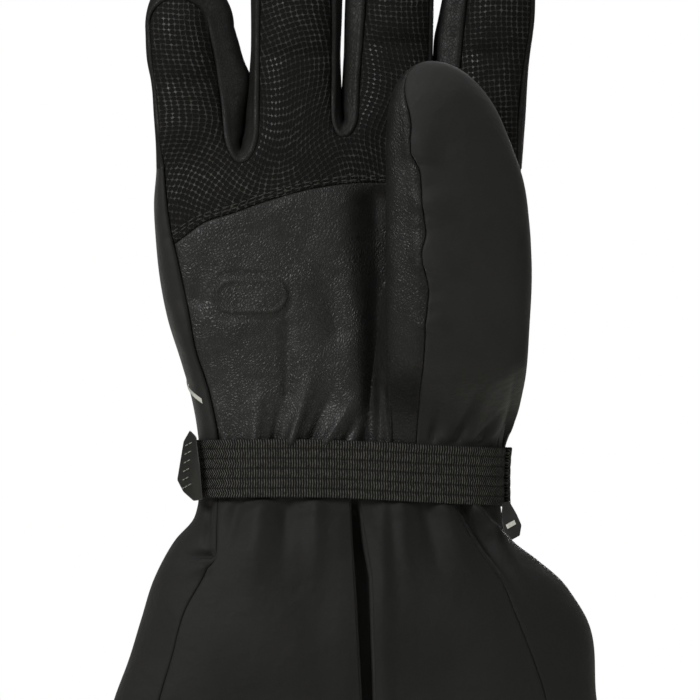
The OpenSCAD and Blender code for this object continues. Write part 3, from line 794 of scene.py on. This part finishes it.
def finger_piece(name, lower):
    f = fingers[name]
    gaps = valleys_of(name)
    if lower:
        z = [np.linspace(JOIN, f["split"], 26)]
        z += [uz + uh * (1 - np.cos(np.linspace(0, 1.5, 12))) for _, uz, uh, _ in gaps.values()]
        z = np.unique(np.round(np.concatenate(z), 3))
        keep = np.append(True, np.diff(z) > 0.12)
        for gap in gaps.values():
            keep |= np.abs(z - gap[1]) < 1e-6
        z, turns = z[keep], np.array([])
        body, part, word = ("hand", name + "_base", *f["low"]), name + "_base_", "_lower"
        rows, cap = np.linspace(JOIN, f["split"], 12), np.array([])
    else:
        z = np.linspace(f["split"], f["start"], int((f["start"] - f["split"]) / 0.9) + 2)
        turns = np.linspace(0, math.pi / 2, 19)[1:]
        body = (name + "_base", name + "_tip", f["fold"] - 9, f["fold"] + 9)
        part, word = name + "_tip_", "_upper"
        rows, cap = np.linspace(f["split"], f["start"], 12), np.linspace(0, math.pi / 2, 9)[1:]
    face, edges = finger_face(name, z, turns)
    masks = {"lr"[side]: ease(gap[1] - 0.3, gap[1] + 0.6, z) for side, gap in gaps.items() if lower}
    seam = dict(roll="lr" if lower else "lrt", deep=0.9, wide=1.9, masks=masks)
    sew(name + "_grip" + word, face, GRIP, body, [part + "grip"], out=PALMWARD, pat=net_place(face), **seam)
    mirror = face.copy()
    mirror[..., 1] = 2 * MID - mirror[..., 1]
    pat = mirror[..., [0, 2]]
    sew(name + "_back" + word, mirror, CLOTH, body, [part + "back"], out=BACKWARD, pat=pat, **seam)
    sides = []
    for side in (0, 1):
        F, S = face[:, -side], edges[side]
        if side in gaps:
            uz = gaps[side][1]
            if lower:
                from_here = z.searchsorted(uz - 1e-6)
                F, S = F[from_here:], S[from_here:]
            lean = 0.12 * ease(uz + 6, uz + 12, S[:, 1]) * ease(244, 238, S[:, 1])
            S = S + np.array([2 * side - 1, 0]) * lean[:, None]
        # the strip begins a little under the edge of the face
        under = F[:, ::2] - S
        under = 0.75 * under / np.maximum(np.linalg.norm(under, axis=1), 0.1)[:, None]
        sides.append(wrap(F + points(under[:, 0], 0.45, under[:, 1]), S))
    strips = {"_left": sides[0], "_right": sides[1]}
    if not lower:
        strips = {"_upper": np.concatenate([sides[0], sides[1][-2::-1]])}
    for end, P in strips.items():
        inside = (np.mean(face[..., 0]), MID, np.mean(P[..., 2]) if lower else f["start"] - 12)
        look = dict(roll="lr", out=inside, pat=run_of(P), bead=0.55)
        sew(name + "_side" + end, P, SIDE, body, [part + "sides"], "finger_side_leather", **look)
    # lining a little inside, closed at the tip
    rim = full_turn(40)
    _, (left, right), _, a = finger_outline(name, rows, cap)
    middle, w = (left[:, 0] + right[:, 0]) / 2, (right[:, 0] - left[:, 0]) / 2
    w = np.maximum(w - 2.2 * np.cos(a), 0)
    height = np.concatenate([rows, f["start"] + (f["tip"][1] - f["start"] - 2.4) * np.sin(cap)])
    d = 0.72 * (half_depth(height) - 2.6) * np.cos(a) ** 0.8
    P = points(middle[:, None] + w[:, None] * np.cos(rim), MID + d[:, None] * np.sin(rim), height[:, None])
    look = dict(roll="", out=(middle.mean(), MID, height.mean()), closed=True)
    sew(name + "_lining" + word, P, LINING, body, [part + "liner"], **look)


def make_fingers():
    for name in ORDER:
        finger_piece(name, True)
        finger_piece(name, False)


# ---------------------------------------------------------------- palm and back
def side_right(z):
    return mix(hand_right(z) - 1.6, 55.7, ease(190, JOIN, z))


def palm_grid(low, high, pitch):
    """Grid over the palm between two heights, each a function of X."""
    u = places(118, pitch)
    x = mix(-63.4, 55.7, u)
    v = places(np.max(high(x) - low(x)), pitch)[:, None]
    z = mix(low(x), high(x), v)
    return palm_points(mix(side_seam(z), side_right(z), u), z)


def make_palm():
    lowest = 93
    P = palm_grid(palm_seam, lambda x: 0 * x + JOIN, 0.8)
    sew("palm_grip_band", P, GRIP, "hand", ["palm_grip"], roll="lrb", out=PALMWARD, pat=net_place(P))
    P = palm_grid(lambda x: 0 * x + lowest, palm_seam, 0.65)
    sew("palm_panel", P, PALM, "hand", ["palm_leather"], roll="lrt", out=PALMWARD)
    z = np.linspace(lowest, JOIN, 110)
    for seam, edge, name, material, node, slot in (
        (side_seam, hand_left, "little_side_panel", CLOTH, "side_panel", "softshell"),
        (side_right, hand_right, "index_side_panel", SIDE, "palm_leather", "palm_leather"),
    ):
        F = palm_points(seam(z), z)
        P = wrap(F, np.stack([edge(z), z], -1))
        # the palm's relief fades away to the back
        relief = F[:, 1:2] - palm_front(seam(z), z)[:, None]
        P[..., 1] += relief * ease(0.5, 1, np.linspace(0, 1, P.shape[1]))
        sew(name, P, material, "hand", [node], slot, roll="lr", out=(0, MID, 150), pat=run_of(P))
    u, z = places(112, 1.0), np.linspace(lowest, JOIN, 96)[:, None]
    x = mix(side_seam(z), side_right(z), u)
    y = 2 * MID - palm_front(x, z)
    y = y + 0.45 * ripple(x, z, 40, 1.1) * ease(JOIN, JOIN - 14, z) * ease(0, 0.08, u) * ease(1, 0.92, u)
    P = points(x, y, z)
    sew("hand_back", P, CLOTH, "hand", ["back_panel"], roll="lr", out=BACKWARD, pat=P[..., [0, 2]])
    # padded bar over the knuckles, with one cushion for each
    wide, tall = 92, 28
    u, v = places(wide, 0.9), places(tall, 0.8)[:, None]
    x = mix(-49, 42, u)
    z = mix(mix(169, 168.5, u), mix(191.5, 197.5, u), v)
    edge = np.minimum(np.minimum(u, 1 - u) * wide, np.minimum(v, 1 - v) * tall)
    swell = 0.7 + 2.2 * np.abs(np.sin(4 * math.pi * u)) ** 0.55
    y = 2 * MID - palm_front(x, z) + 0.3 + swell * np.clip(edge / 3.5, 0, 1) ** 0.5
    look = dict(thick=1.0, deep=0.3, wide=0.5, out=BACKWARD)
    piece = sew("knuckle_bar", points(x, y, z), RUBBER, "hand", ["knuckle_pad"], **look)
    P = wrist(full_turn(120), np.linspace(96, JOIN + 2, 30)[:, None], -2.4, -7)
    sew("hand_lining", P, LINING, "hand", ["hand_liner"], roll="", out=(0, MID, 150), closed=True)
    # double row of thread above the seam across the palm
    for k, rise in enumerate((1.1, 2.3)):
        x = np.linspace(-61, 24, 200)
        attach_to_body(stitches(f"palm_seam_thread_{k + 1}", palm_points(x, palm_seam(x) + rise), THREAD), "hand")
    # reflective strip on the little finger's side
    turn = np.linspace(0.4, 2.1, 40)
    z = 125.6 + 4.4 * (turn - turn[0]) + np.linspace(-0.85, 0.85, 4)[:, None]
    c, lift = rounded(turn, EDGE_POWER)
    x, y = side_seam(z) - 0.3, palm_front(side_seam(z), z) - 0.4
    P = points(x + (hand_left(z) - 0.4 - x) * lift, MID - (MID - y) * c, z)
    look = dict(thick=0.3, deep=0.1, wide=0.2, out=(0, MID, 128))
    sew("reflective_strip", P, GLINT, "hand", ["reflective_stripe"], **look)


# ---------------------------------------------------------------- thumb
TIP = 212.0  # height where the rounding of the thumb's tip begins
TIP_TALL = 27.6
THUMB_POWER = 2 / 2.35
thumb_left = curve((104, 12.5), (125, 11.6), (150, 11.3), (212, 11.3))
thumb_right = curve(
    (104, 50.2), (111.3, 51.3), (119, 55), (129.4, 57.5), (151.6, 59.5),
    (169, 60.2), (182, 59.6), (200.6, 57.1), (212, 53.2),
)
thumb_seam = curve(
    (104, 21.5), (116.8, 22), (129, 22.9), (141.5, 24.2), (150, 24.5), (157.5, 25.2), (163.5, 25.5),
    (169.5, 24.3), (175.5, 23.6), (181.5, 24.7), (188, 24), (197, 23.2), (203.2, 22.5), (207.5, 20.3), (212, 19.9),
)
thumb_front = curve(
    (104, -11), (112, -13.2), (119, -20), (128, -28), (140, -34),
    (152, -37), (170, -38.2), (200, -38), (212, -37.4),
)
thumb_back = curve((104, -8), (119, -10), (128, -12.2), (140, -13.8), (212, -15))
# the same lines over the tip, by degrees
over_left = curve((0, 11.3), (10.4, 11.5), (30.5, 12.6), (46.4, 14.8), (64.9, 19.2), (90, 26))
over_right = curve((0, 53.2), (27.6, 47.4), (46.4, 42), (62.6, 36.6), (90, 26))
over_seam = curve((0, -0.6), (12.6, -0.58), (42, -0.767), (62, -0.9), (90, -0.97))
THUMB_FOLDS = (
    (31, 114, 35, 134, 2.2, 1.0), (39, 114, 46, 130, 2.0, 1.0), (47, 115, 54, 127, 1.8, 0.9),
    (35, 113, 41, 127, 1.1, -1.1), (43, 113, 52, 124, 1.1, -1.1), (27, 113, 30, 128, 1.1, -0.8),
    (54, 150, 34, 172, 6, -0.8), (56, 182, 36, 205, 5, 0.7),
)


def thumb_rows(low, high):
    """Heights up the thumb, and angles over its tip."""
    z = np.linspace(low, min(high, TIP), int((min(high, TIP) - low) / 0.9) + 2)
    if high <= TIP:
        return z, np.zeros(len(z))
    a = np.radians(np.concatenate([np.linspace(0, 70, 34)[1:], np.linspace(70, 90, 14)[1:]]))
    return np.concatenate([z, np.full(len(a), TIP)]), np.concatenate([0 * z, a])


def thumb_form(z0, a, turn, inset=0.0):
    """Point of the thumb's surface at each row and each turn. 90 degrees is the front, 0 the right."""
    z0, a = z0[:, None], a[:, None]
    deg = np.degrees(a)
    left = np.where(a > 0, over_left(deg), thumb_left(z0)) + inset * np.cos(a)
    right = np.where(a > 0, over_right(deg), thumb_right(z0)) - inset * np.cos(a)
    z = z0 + (TIP_TALL - inset) * np.sin(a) + 0 * turn
    front, back = thumb_front(z0) + inset, thumb_back(z0) - inset
    c, s = rounded(turn, THUMB_POWER)
    x = (left + right) / 2 + (right - left) / 2 * c
    y = (front + back) / 2 + 0.8 * np.sin(a) - (back - front) / 2 * np.cos(a) ** 0.85 * s
    # the lower end comes out of the side of the hand
    flat = palm_front(np.minimum(x, hand_right(z) - 0.05), z) + np.where(s > 0, -0.35, 1.6) + inset
    return np.stack([x, mix(flat, y, ease(111, 139, z)), z], -1)


def thumb_relief(P):
    """Steps and puckers along the wavy seam and soft folds over the softshell."""
    x, z = P[..., 0], P[..., 2]
    high = 0.35 * ripple(x, z, 48, 3.1) + 0.1 * ripple(x, z, 18, 1.4) + folds(x, z, THUMB_FOLDS, 1.9)
    for at, reach, height in ((208, 6, 1.9), (190, 7, 1.4), (170.5, 10, 2.4), (151, 6, 1.0)):
        seam = thumb_seam(at)
        above = z - at + 0.25 * (x - seam)
        step = bell(above, np.where(above > 0, 7.0, 1.3))
        high = high + height * step * ease(seam + 1.8 * reach, seam + 0.4 * reach, x)
    near = bell(np.maximum(x - thumb_seam(np.minimum(z, TIP)), 0), 4.5)
    puckers = 0.25 * np.sin(z * WAVE / 8.7 + 1.2 * np.sin(z / 5))
    return (high + near * puckers * ease(118, 130, z) * ease(222, 205, z)) * ease(239, 226, z)


def seam_turns(z0, a):
    """Turns of the front and the back seam at each row."""
    left, right = thumb_left(z0), thumb_right(z0)
    c = np.where(a > 0, over_seam(np.degrees(a)), (thumb_seam(z0) - (left + right) / 2) / ((right - left) / 2))
    front = np.arccos(-np.clip(-c, 0.02, 0.999) ** (1 / THUMB_POWER))
    back = 2 * math.pi - np.arccos(-np.clip(0.62 + 0.3 * np.sin(a), 0, 0.999) ** (1 / THUMB_POWER))
    return front[:, None], back[:, None]


def make_thumb():
    middle = (36, -26, 180)
    for part, word, low, high, body in (
        ("lower", "base", 108, 183, ("hand", "thumb_base", 116, 150)),
        ("upper", "tip", 183, 240, ("thumb_base", "thumb_tip", (36, -26, 184), (36, -26, 200))),
    ):
        z0, a = thumb_rows(low, high)
        front, back = seam_turns(z0, a)
        P = thumb_form(z0, a, mix(front, back - 2 * math.pi, places(88, 0.9)))
        N = outward(P, middle)
        P = P + N * (np.clip(-N[..., 1], 0, 1) * thumb_relief(P))[..., None]
        node, look = f"thumb_{word}_", dict(roll="lr", out=middle)
        sew("thumb_softshell_" + part, P, CLOTH, body, [node + "softshell"], pat=P[..., [0, 2]], **look)
        # the leather takes over the softshell's edges, and is full beside the front seam
        u = places(30, 0.9)
        Q = thumb_form(z0, a, mix(front, back, u))
        for edge, share in ((0, ease(0.13, 0, u)), (-1, ease(0.6, 1, u))):
            Q = Q + (P[:, edge] - Q[:, edge])[:, None] * share[None, :, None]
        Q[..., 1] -= 0.7 * bell(u - 0.07, 0.05) * ease(118, 128, Q[..., 2]) * ease(230, 215, Q[..., 2])
        sew("thumb_leather_" + part, Q, SHADED_THUMB_LEATHER, body, [node + "leather"], "palm_leather", **look)
        z0, a = thumb_rows(max(low, 122), high)
        P = thumb_form(z0[::3], a[::3], full_turn(60)[None], 2.4)
        if part == "upper":
            P = np.concatenate([P, P[-1:].mean(1, keepdims=True) + 0 * P[-1:]])
        sew("thumb_lining_" + part, P, LINING, body, [node + "liner"], roll="", out=middle, closed=True)
    # leather web from the palm up to the thumb
    u = places(18, 0.8)
    full = np.sin(u * math.pi)
    z = mix(110, 178 - 15 * full**0.8, np.linspace(0, 1, 76)[:, None])
    near = mix(5.2, 10.8, ease(112, 176, z)) - 0.6
    far = thumb_left(z) + 0.9
    far_y = mix(palm_front(far, z) - 0.8, (thumb_front(z) + thumb_back(z)) / 2 - 3, ease(111, 139, z))
    turn = u * math.pi / 2
    x = mix(near, far, np.sin(turn)) - 1.1 * np.sin(2 * turn) * ease(178, 150, z)
    y = mix(palm_front(near, z) - palm_relief(near, z) + 0.4, far_y, 1 - np.cos(turn))
    y = y + (2.0 * ease(142, 168, z) - 0.25 * np.sin(z / 5.5 + 3 * u)) * full
    y = y - 2.2 * bell(u - 0.5, 0.2) * ease(160, 126, z)
    body = ("hand", "thumb_base", (4, -11, 130), (13, -26, 150))
    sew("thumb_web", points(x, y, z), PALM, body, ["thumb_gusset"], roll="lt", out=(-1, -1, 0, 1))


# ---------------------------------------------------------------- wrist strap
def wrist(turn, z, off, deep=None):
    """The hand's even form, off millimetres wider and deep (or else off) millimetres deeper each way."""
    depth = half_depth(z) + (off if deep is None else deep)
    return oval(turn, z, hand_left(z) - off, hand_right(z) + off, depth, 2 / HAND_POWER)


def wrist_turns(first, last, off, pitch=0.8):
    """Turns at even steps round the wrist, from the turn first to the turn last."""
    fine = np.linspace(first, last, 3000)
    P = wrist(fine, STRAP_Z + 0 * fine, off)
    run = np.concatenate([[0], np.linalg.norm(np.diff(P, axis=0), axis=1).cumsum()])
    even = np.linspace(0, run[-1], int(run[-1] / pitch) + 2)
    return np.interp(even, run, fine), even


def band(name, first, last, off, z0, z1, material, body, node, thick, ribs=0.0, deep=0.3, wide=0.5):
    """Strip round the wrist from one turn to another, in degrees, a little bowed and lower at the thumb."""
    turn, even = wrist_turns(math.radians(first), math.radians(last), off)
    z = mix(z0, z1, places(z1 - z0, 0.45)[:, None])
    out = off + ribs * (np.abs(np.sin((z - z0) / (z1 - z0) * math.pi * 6)) ** 0.5 - 1)
    P = wrist(turn, z, out)
    P[..., 2] += 0.5 * (1 - (P[..., 0] / 52) ** 2) - 2.6 * ease(-25, 54, P[..., 0])
    pat = points(even, z - z0, ease(30, 6, np.minimum(even, even[-1] - even)))
    look = dict(thick=thick, deep=deep, wide=wide, out=(0, MID, STRAP_Z), pat=pat)
    sew(name, P, material, body, [node], **look)


def tab_front(x, z):
    return np.interp(x, [-59.5, -56, -50], [4.5, -1.0, -7.2]) - 0.4


def tag_front(x, z):
    return -1.8 - 0.62 * (92.3 - z)


def make_strap():
    peel = ("hand", "closure_flap", (55, 6, STRAP_Z), (55, 15, STRAP_Z))
    woven = dict(ribs=0.14, deep=0.5, wide=0.6)
    band("webbing_front", 176, -4, 2.3, 92.7, 112.7, WEB, "hand", "wrist_webbing", 1.6, **woven)
    band("loop_pad", -50, -129, 1.1, 93.7, 111.7, HOOKS, "hand", "loop_patch", 0.8)
    band("hook_pad", -58, -93, 1.9, 94.7, 110.7, HOOKS, "closure_flap", "hook_patch", 0.7)
    band("closure_tab", 9, -98, 3.9, 92.2, 112.7, WEB, peel, "closure_flap", 1.7, **woven)
    anchor = (-50.2, 92.4), (-53.4, 92), (-56.9, 95), (-59, 99)
    anchor += (-56.8, 112), (-54.6, 115.8), (-52.4, 113.6), (-51.2, 104)
    tag = (50.6, 91.4), (53, 91.8), (55.4, 87.6), (57, 83.9), (56.4, 80.4), (53.6, 78.9), (50.9, 81.5), (50.2, 86)
    bar = (52.3, 82.6), (55.2, 84.2), (54.6, 85.6), (51.7, 84.0)
    piece = plate("strap_anchor", anchor, RUBBER, tab_front, 2.2, bevel=0.5)
    attach(piece, "hand", ["webbing_anchor"], "moulded_rubber")
    for k in range(6):
        x, z = -56.2 + 0.24 * (k - 1), 96.5 + 2.9 * k
        line = [(x + dx, tab_front(x + dx, z) - 0.1, z + 0.55 * dx) for dx in (-1.2, 0, 1.2, 2.2)]
        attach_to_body(stitches(f"strap_anchor_thread_{k + 1}", line, PALE, length=1.6, gap=0.35, radius=0.2), "hand")
    piece = plate("pull_tab", tag, RUBBER, tag_front, 1.5, bevel=0.4)
    attach(piece, "hand", ["pull_tag"], "moulded_rubber")
    piece = plate("pull_tab_bar", bar, GLINT, lambda x, z: tag_front(x, z) - 0.12, 0.5, bevel=0.12)
    attach(piece, "hand", [], "reflective")


# ---------------------------------------------------------------- gauntlet
cuff_left = curve(
    (0, -86), (25, -80.3), (38.6, -75.3), (52, -71.2), (65.5, -66.9),
    (72, -63.8), (79, -59.5), (85.7, -53.6), (90, -52.2), (95, -51.6),
)
cuff_right = curve(
    (0, 86), (25, 82.6), (54, 78.3), (58.8, 75.3), (65.5, 70.2),
    (72, 62.5), (79, 53.6), (85.7, 50.9), (90, 50.2), (95, 49.8),
)
cuff_depth = curve((0, 29.8), (30, 29), (60, 27), (76, 24.5), (86, 20.6), (95, 19.6))
cuff_seam_left = curve(
    (0, -68.5), (25, -65), (40, -60.6), (56, -55.8), (66, -50.5), (73, -46.4), (82, -45.4), (95, -45)
)
cuff_seam_right = curve((0, 70), (30, 64), (56, 54.6), (66, 50.3), (75.6, 42.8), (90.7, 34.3), (95, 33))
CUFF_POWER = 2 / 2.3
CUFF_MIDDLE = (0, MID, 45)
CUFF_BODY = ("gauntlet", "hand", 70, 92)  # bodies and heights for the cuff's top at the wrist; attach only bakes it in place
PLEAT_DEEP = 7.5
CUFF_FOLDS = (
    (34, 94, 56, 62, 1.6, -2.4), (38.5, 93, 60, 64, 1.9, 1.6), (47, 82, 68, 68, 3.0, 1.2),
    (-48, 90, -49, 72, 1.6, -0.9), (-48, 74, -60, 73, 1.5, -1.3), (-50, 70, -60, 66, 2.2, 0.8),
    (-30, 92, -34, 58, 4.0, 1.2), (-22, 92, -24, 66, 3.0, -1.0), (-12, 92, -13, 60, 3.4, 1.0),
    (-38, 92, -43, 70, 2.6, -0.8), (16, 92, 19, 58, 3.6, 1.2), (24, 92, 30, 64, 3.0, -1.1),
    (30, 92, 40, 66, 3.0, 0.9), (10.5, 92, 12, 50, 2.6, 0.8), (40, 88, 54, 72, 2.4, 0.8),
)


def cuff(turn, z, off=0.0):
    return oval(turn, z, cuff_left(z) - off, cuff_right(z) + off, cuff_depth(z) + off, CUFF_POWER)


def cuff_turn(x, z):
    """Turn of the cuff's front where it has this x."""
    left, right = cuff_left(z), cuff_right(z)
    c = np.clip((x - (left + right) / 2) / ((right - left) / 2), -0.999, 0.999)
    return np.arccos(np.sign(c) * np.abs(c) ** (1 / CUFF_POWER))


def pleat_sides(z):
    down = 91 - z
    return -0.6 + 0.055 * down, 2.4 + 0.13 * np.minimum(down, 24) + 0.03 * down


def cuff_relief(x, z):
    """The pleat down the middle and the folds that gather at the strap."""
    fade = ease(2, 22, z)
    left, right = pleat_sides(z)
    floor = ease(left - 0.3, left + 0.5, x) * ease(right + 0.7, right - 0.9, x) * ease(CUFF_TOP, 91, z)
    beside = 1.3 * bell(x - right - 3.4, 3.4) + 0.8 * bell(x - left + 5, 6)
    high = (beside * ease(96, 80, z) - PLEAT_DEEP * floor + 1.2 * ripple(x, z, 60, 0.9)) * fade
    return (high + folds(x, z, CUFF_FOLDS, 2.2, 0.85, 0.9)) * ease(96, 88, z)


def back_relief(x, z, u):
    high = 1.2 * ripple(x, z, 55, 5.2) + 0.9 * np.sin(x / 4.5) * ease(60, 88, z)
    return high * ease(96, 88, z) * ease(2, 20, z) * ease(0, 0.08, u) * ease(1, 0.92, u)


def cuff_panel(side, first, last):
    """Panel between two seams, each a turn for every height."""
    z = np.concatenate([np.linspace(2, 60, 46), np.linspace(60, CUFF_TOP, 48)[1:]])[:, None]
    u = places(60 if side in ("left", "right") else 155, 1.0)
    turn = mix(first(z), last(z), u)
    if side == "palm":
        # columns that run along both walls of the pleat
        left, right = pleat_sides(z)
        walls = [left - 0.3, left + 0.1, left + 0.5, right - 0.9, right - 0.1, right + 0.7]
        stops = np.concatenate([cuff_seam_left(z), *walls, cuff_seam_right(z)], 1)
        share = [0, 0.475, 0.48, 0.485, 0.51, 0.516, 0.522, 1]
        u = np.unique(np.concatenate([u, np.linspace(0.47, 0.53, 25), share]))
        turn = cuff_turn(np.array([np.interp(u, share, row) for row in stops]), z)
    P = cuff(turn, z)
    x = P[..., 0]
    if side == "back":
        high = back_relief(x, z, u)
    else:
        high = cuff_relief(x, z) * ease(-0.3, 0.1, np.sin(turn))
    high = high * np.clip(np.abs(np.sin(turn)) * 1.6, 0, 1)
    P = P + outward(P, CUFF_MIDDLE) * high[..., None]
    name = f"gauntlet_{side}_side"
    look = dict(thick=0.9, roll="lr", deep=0.8, wide=1.3, out=CUFF_MIDDLE, pat=run_of(P))
    sew(name, P, CUFF, CUFF_BODY, [f"gauntlet_{side}_panel"], **look)


def behind_pleat(P, first, last):
    """1 behind the pleat, where the inner layers step back, and 0 beside it. first and last are its X."""
    x, y = P[..., 0], P[..., 1]
    return ease(*first, x) * ease(*last, x) * ease(MID, MID - 8, y)


def make_gauntlet():
    def left(z):
        return cuff_turn(cuff_seam_left(z), z)

    def right(z):
        return cuff_turn(cuff_seam_right(z), z)

    cuff_panel("palm", left, right)
    cuff_panel("back", lambda z: -left(z), lambda z: -right(z))
    cuff_panel("left", left, lambda z: 2 * math.pi - left(z))
    cuff_panel("right", right, lambda z: -right(z))
    rim = full_turn(180)
    z = np.linspace(2, 97, 60)[:, None]
    P = mix(cuff(rim, z, -5.2), cuff(rim, z, -1.9), ease(22, 6, z)[..., None])
    P[..., 1] += PLEAT_DEEP * behind_pleat(P, (-3, -0.5), (11, 6)) * ease(4, 22, z)
    sew("gauntlet_inner", P, LINING, CUFF_BODY, ["gauntlet_lining"], roll="", out=CUFF_MIDDLE, closed=True)
    P = cuff(rim, np.linspace(84, 98, 20)[:, None], -4.2)
    P[..., 1] += (PLEAT_DEEP + 1) * behind_pleat(P, (-4, -1), (7, 4))
    look = dict(roll="", out=(0, MID, 90), closed=True)
    sew("wrist_stretch_ring", P, CLOTH, CUFF_BODY, ["wrist_gusset"], **look)
    # folded tape round the hem: how far each corner of its section lies outside the cuff, and its height
    side = [(0.5, 0.25), (0.85, 1.0), (0.9, 3.5), (0.85, 6.2), (0.55, 6.8), (0.1, 7.0)]
    top = [(-0.6, 6.2), (-2.4, 6.2), (-3.2, 7.0), (-3.7, 6.6)]
    under = [(-3.85, 3.5), (-3.7, 0.8), (-3.2, 0.15), (-1.4, 0.0), (0.1, 0.05)]
    turn = full_turn(260)
    P = np.stack([cuff(turn, z + 0 * turn, off) for off, z in side + top + under], 1)
    rows, cols = P.shape[:2]
    ident = np.arange(rows * cols).reshape(rows, cols)
    corners = [np.roll(ident, (-r, -c), (0, 1)).ravel() for r, c in ((0, 0), (0, 1), (1, 1), (1, 0))]
    faces = [tuple(int(k) for k in face) for face in zip(*corners)]
    pat = points(np.linspace(0, 420, rows)[:, None], P[..., 2], 0)
    P = P.reshape(-1, 3)
    piece = mesh("hem_tape", P, faces, BINDING, P, pat.reshape(-1, 3))
    attach(piece, "gauntlet", ["hem_binding"], "binding")
    turn = np.linspace(0, 2 * math.pi, 700)
    path = cuff(turn, 6.0 + 0 * turn, 0.9)
    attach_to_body(stitches("hem_tape_thread", path, THREAD, length=2.6, gap=1.0, radius=0.2, up=(0, 0, 1)), "gauntlet")


def even_form():
    """Closed tubes for the gauntlet, the hand, the fingers and, put to the side, the thumb."""
    rim = full_turn(48)
    tubes = [cuff(rim, np.linspace(3, CUFF_TOP, 24)[:, None]), wrist(rim, np.linspace(88, 212, 32)[:, None], 0)]
    for name in ORDER:
        turns = np.linspace(0, 1.45, 8)[1:]
        _, (left, right), z, a = finger_outline(name, np.linspace(200, fingers[name]["start"], 22), turns)
        middle, half = (left + right)[..., None] / 2, (right - left)[:, :1] / 2 - 0.4
        d = (half_depth(z) * np.cos(a) ** 0.8)[:, None]
        tubes.append(points(middle[:, 0] + half * np.cos(rim), MID + d * np.sin(rim), middle[:, 1]))
    z0, a = thumb_rows(122, 240)
    thumb = thumb_form(z0[:-2:2], a[:-2:2], rim)
    thumb[..., 0] += Swell.AWAY
    return tubes + [thumb]


# ---------------------------------------------------------------- light, floor, camera
def area(name, place, size, power, look=(0, 0, 0.14)):
    light = bpy.data.lights.new(name, "AREA")
    light.shape = "RECTANGLE"
    light.size, light.size_y = size
    light.energy = power
    obj = add(name, light)
    obj.location = place
    obj.rotation_euler = (Vector(look) - Vector(place)).to_track_quat("-Z", "Y").to_euler()


def make_studio():
    area("key", (-1.15, -1.15, 1.05), (0.7, 0.7), 19)
    area("fill", (1.2, -1.3, 0.5), (0.8, 0.8), 3.5)
    area("top", (0.0, 0.1, 1.5), (1.0, 1.0), 5)
    area("back", (0.1, 1.8, 0.35), (0.6, 0.6), 13)
    world = bpy.data.worlds.new("studio")
    world.use_nodes = True
    tree = world.node_tree
    seen, lit = tree.nodes["Background"], tree.nodes.new("ShaderNodeBackground")
    seen.inputs[0].default_value = (1, 1, 1, 1)
    lit.inputs[0].default_value = (1, 0.99, 0.95, 1)
    lit.inputs[1].default_value = 0.13
    path, both = tree.nodes.new("ShaderNodeLightPath"), tree.nodes.new("ShaderNodeMixShader")
    tree.links.new(path.outputs["Is Camera Ray"], both.inputs[0])
    tree.links.new(lit.outputs[0], both.inputs[1])
    tree.links.new(seen.outputs[0], both.inputs[2])
    tree.links.new(both.outputs[0], tree.nodes["World Output"].inputs[0])
    bpy.context.scene.world = world
    bpy.context.scene.view_settings.view_transform = "Standard"
    p = Paint("floor", 0.9)
    bm = bmesh.new()
    bmesh.ops.create_circle(bm, cap_ends=True, segments=64, radius=0.55)
    data = bpy.data.meshes.new("floor")
    bm.to_mesh(data)
    bm.free()
    data.materials.append(p.done(p.blend(p.noise(0.02, 2.0), 0.78, 0.84)))
    floor = add("floor", data)
    floor.location = (0, MID * MM, 0)
    away, seen_width = 4.0, 0.2352
    camera = bpy.data.cameras.new("camera")
    camera.sensor_width = 36
    camera.lens = camera.sensor_width * away / seen_width
    camera.clip_end = 50
    obj = add("camera", camera)
    obj.location = (-0.0007, -0.012 - away, 0.1428)
    obj.rotation_euler = (math.pi / 2, 0, 0)
    bpy.context.scene.camera = obj


SWELL = Swell(even_form())
make_fingers()
make_palm()
make_thumb()
make_strap()
make_gauntlet()
make_studio()
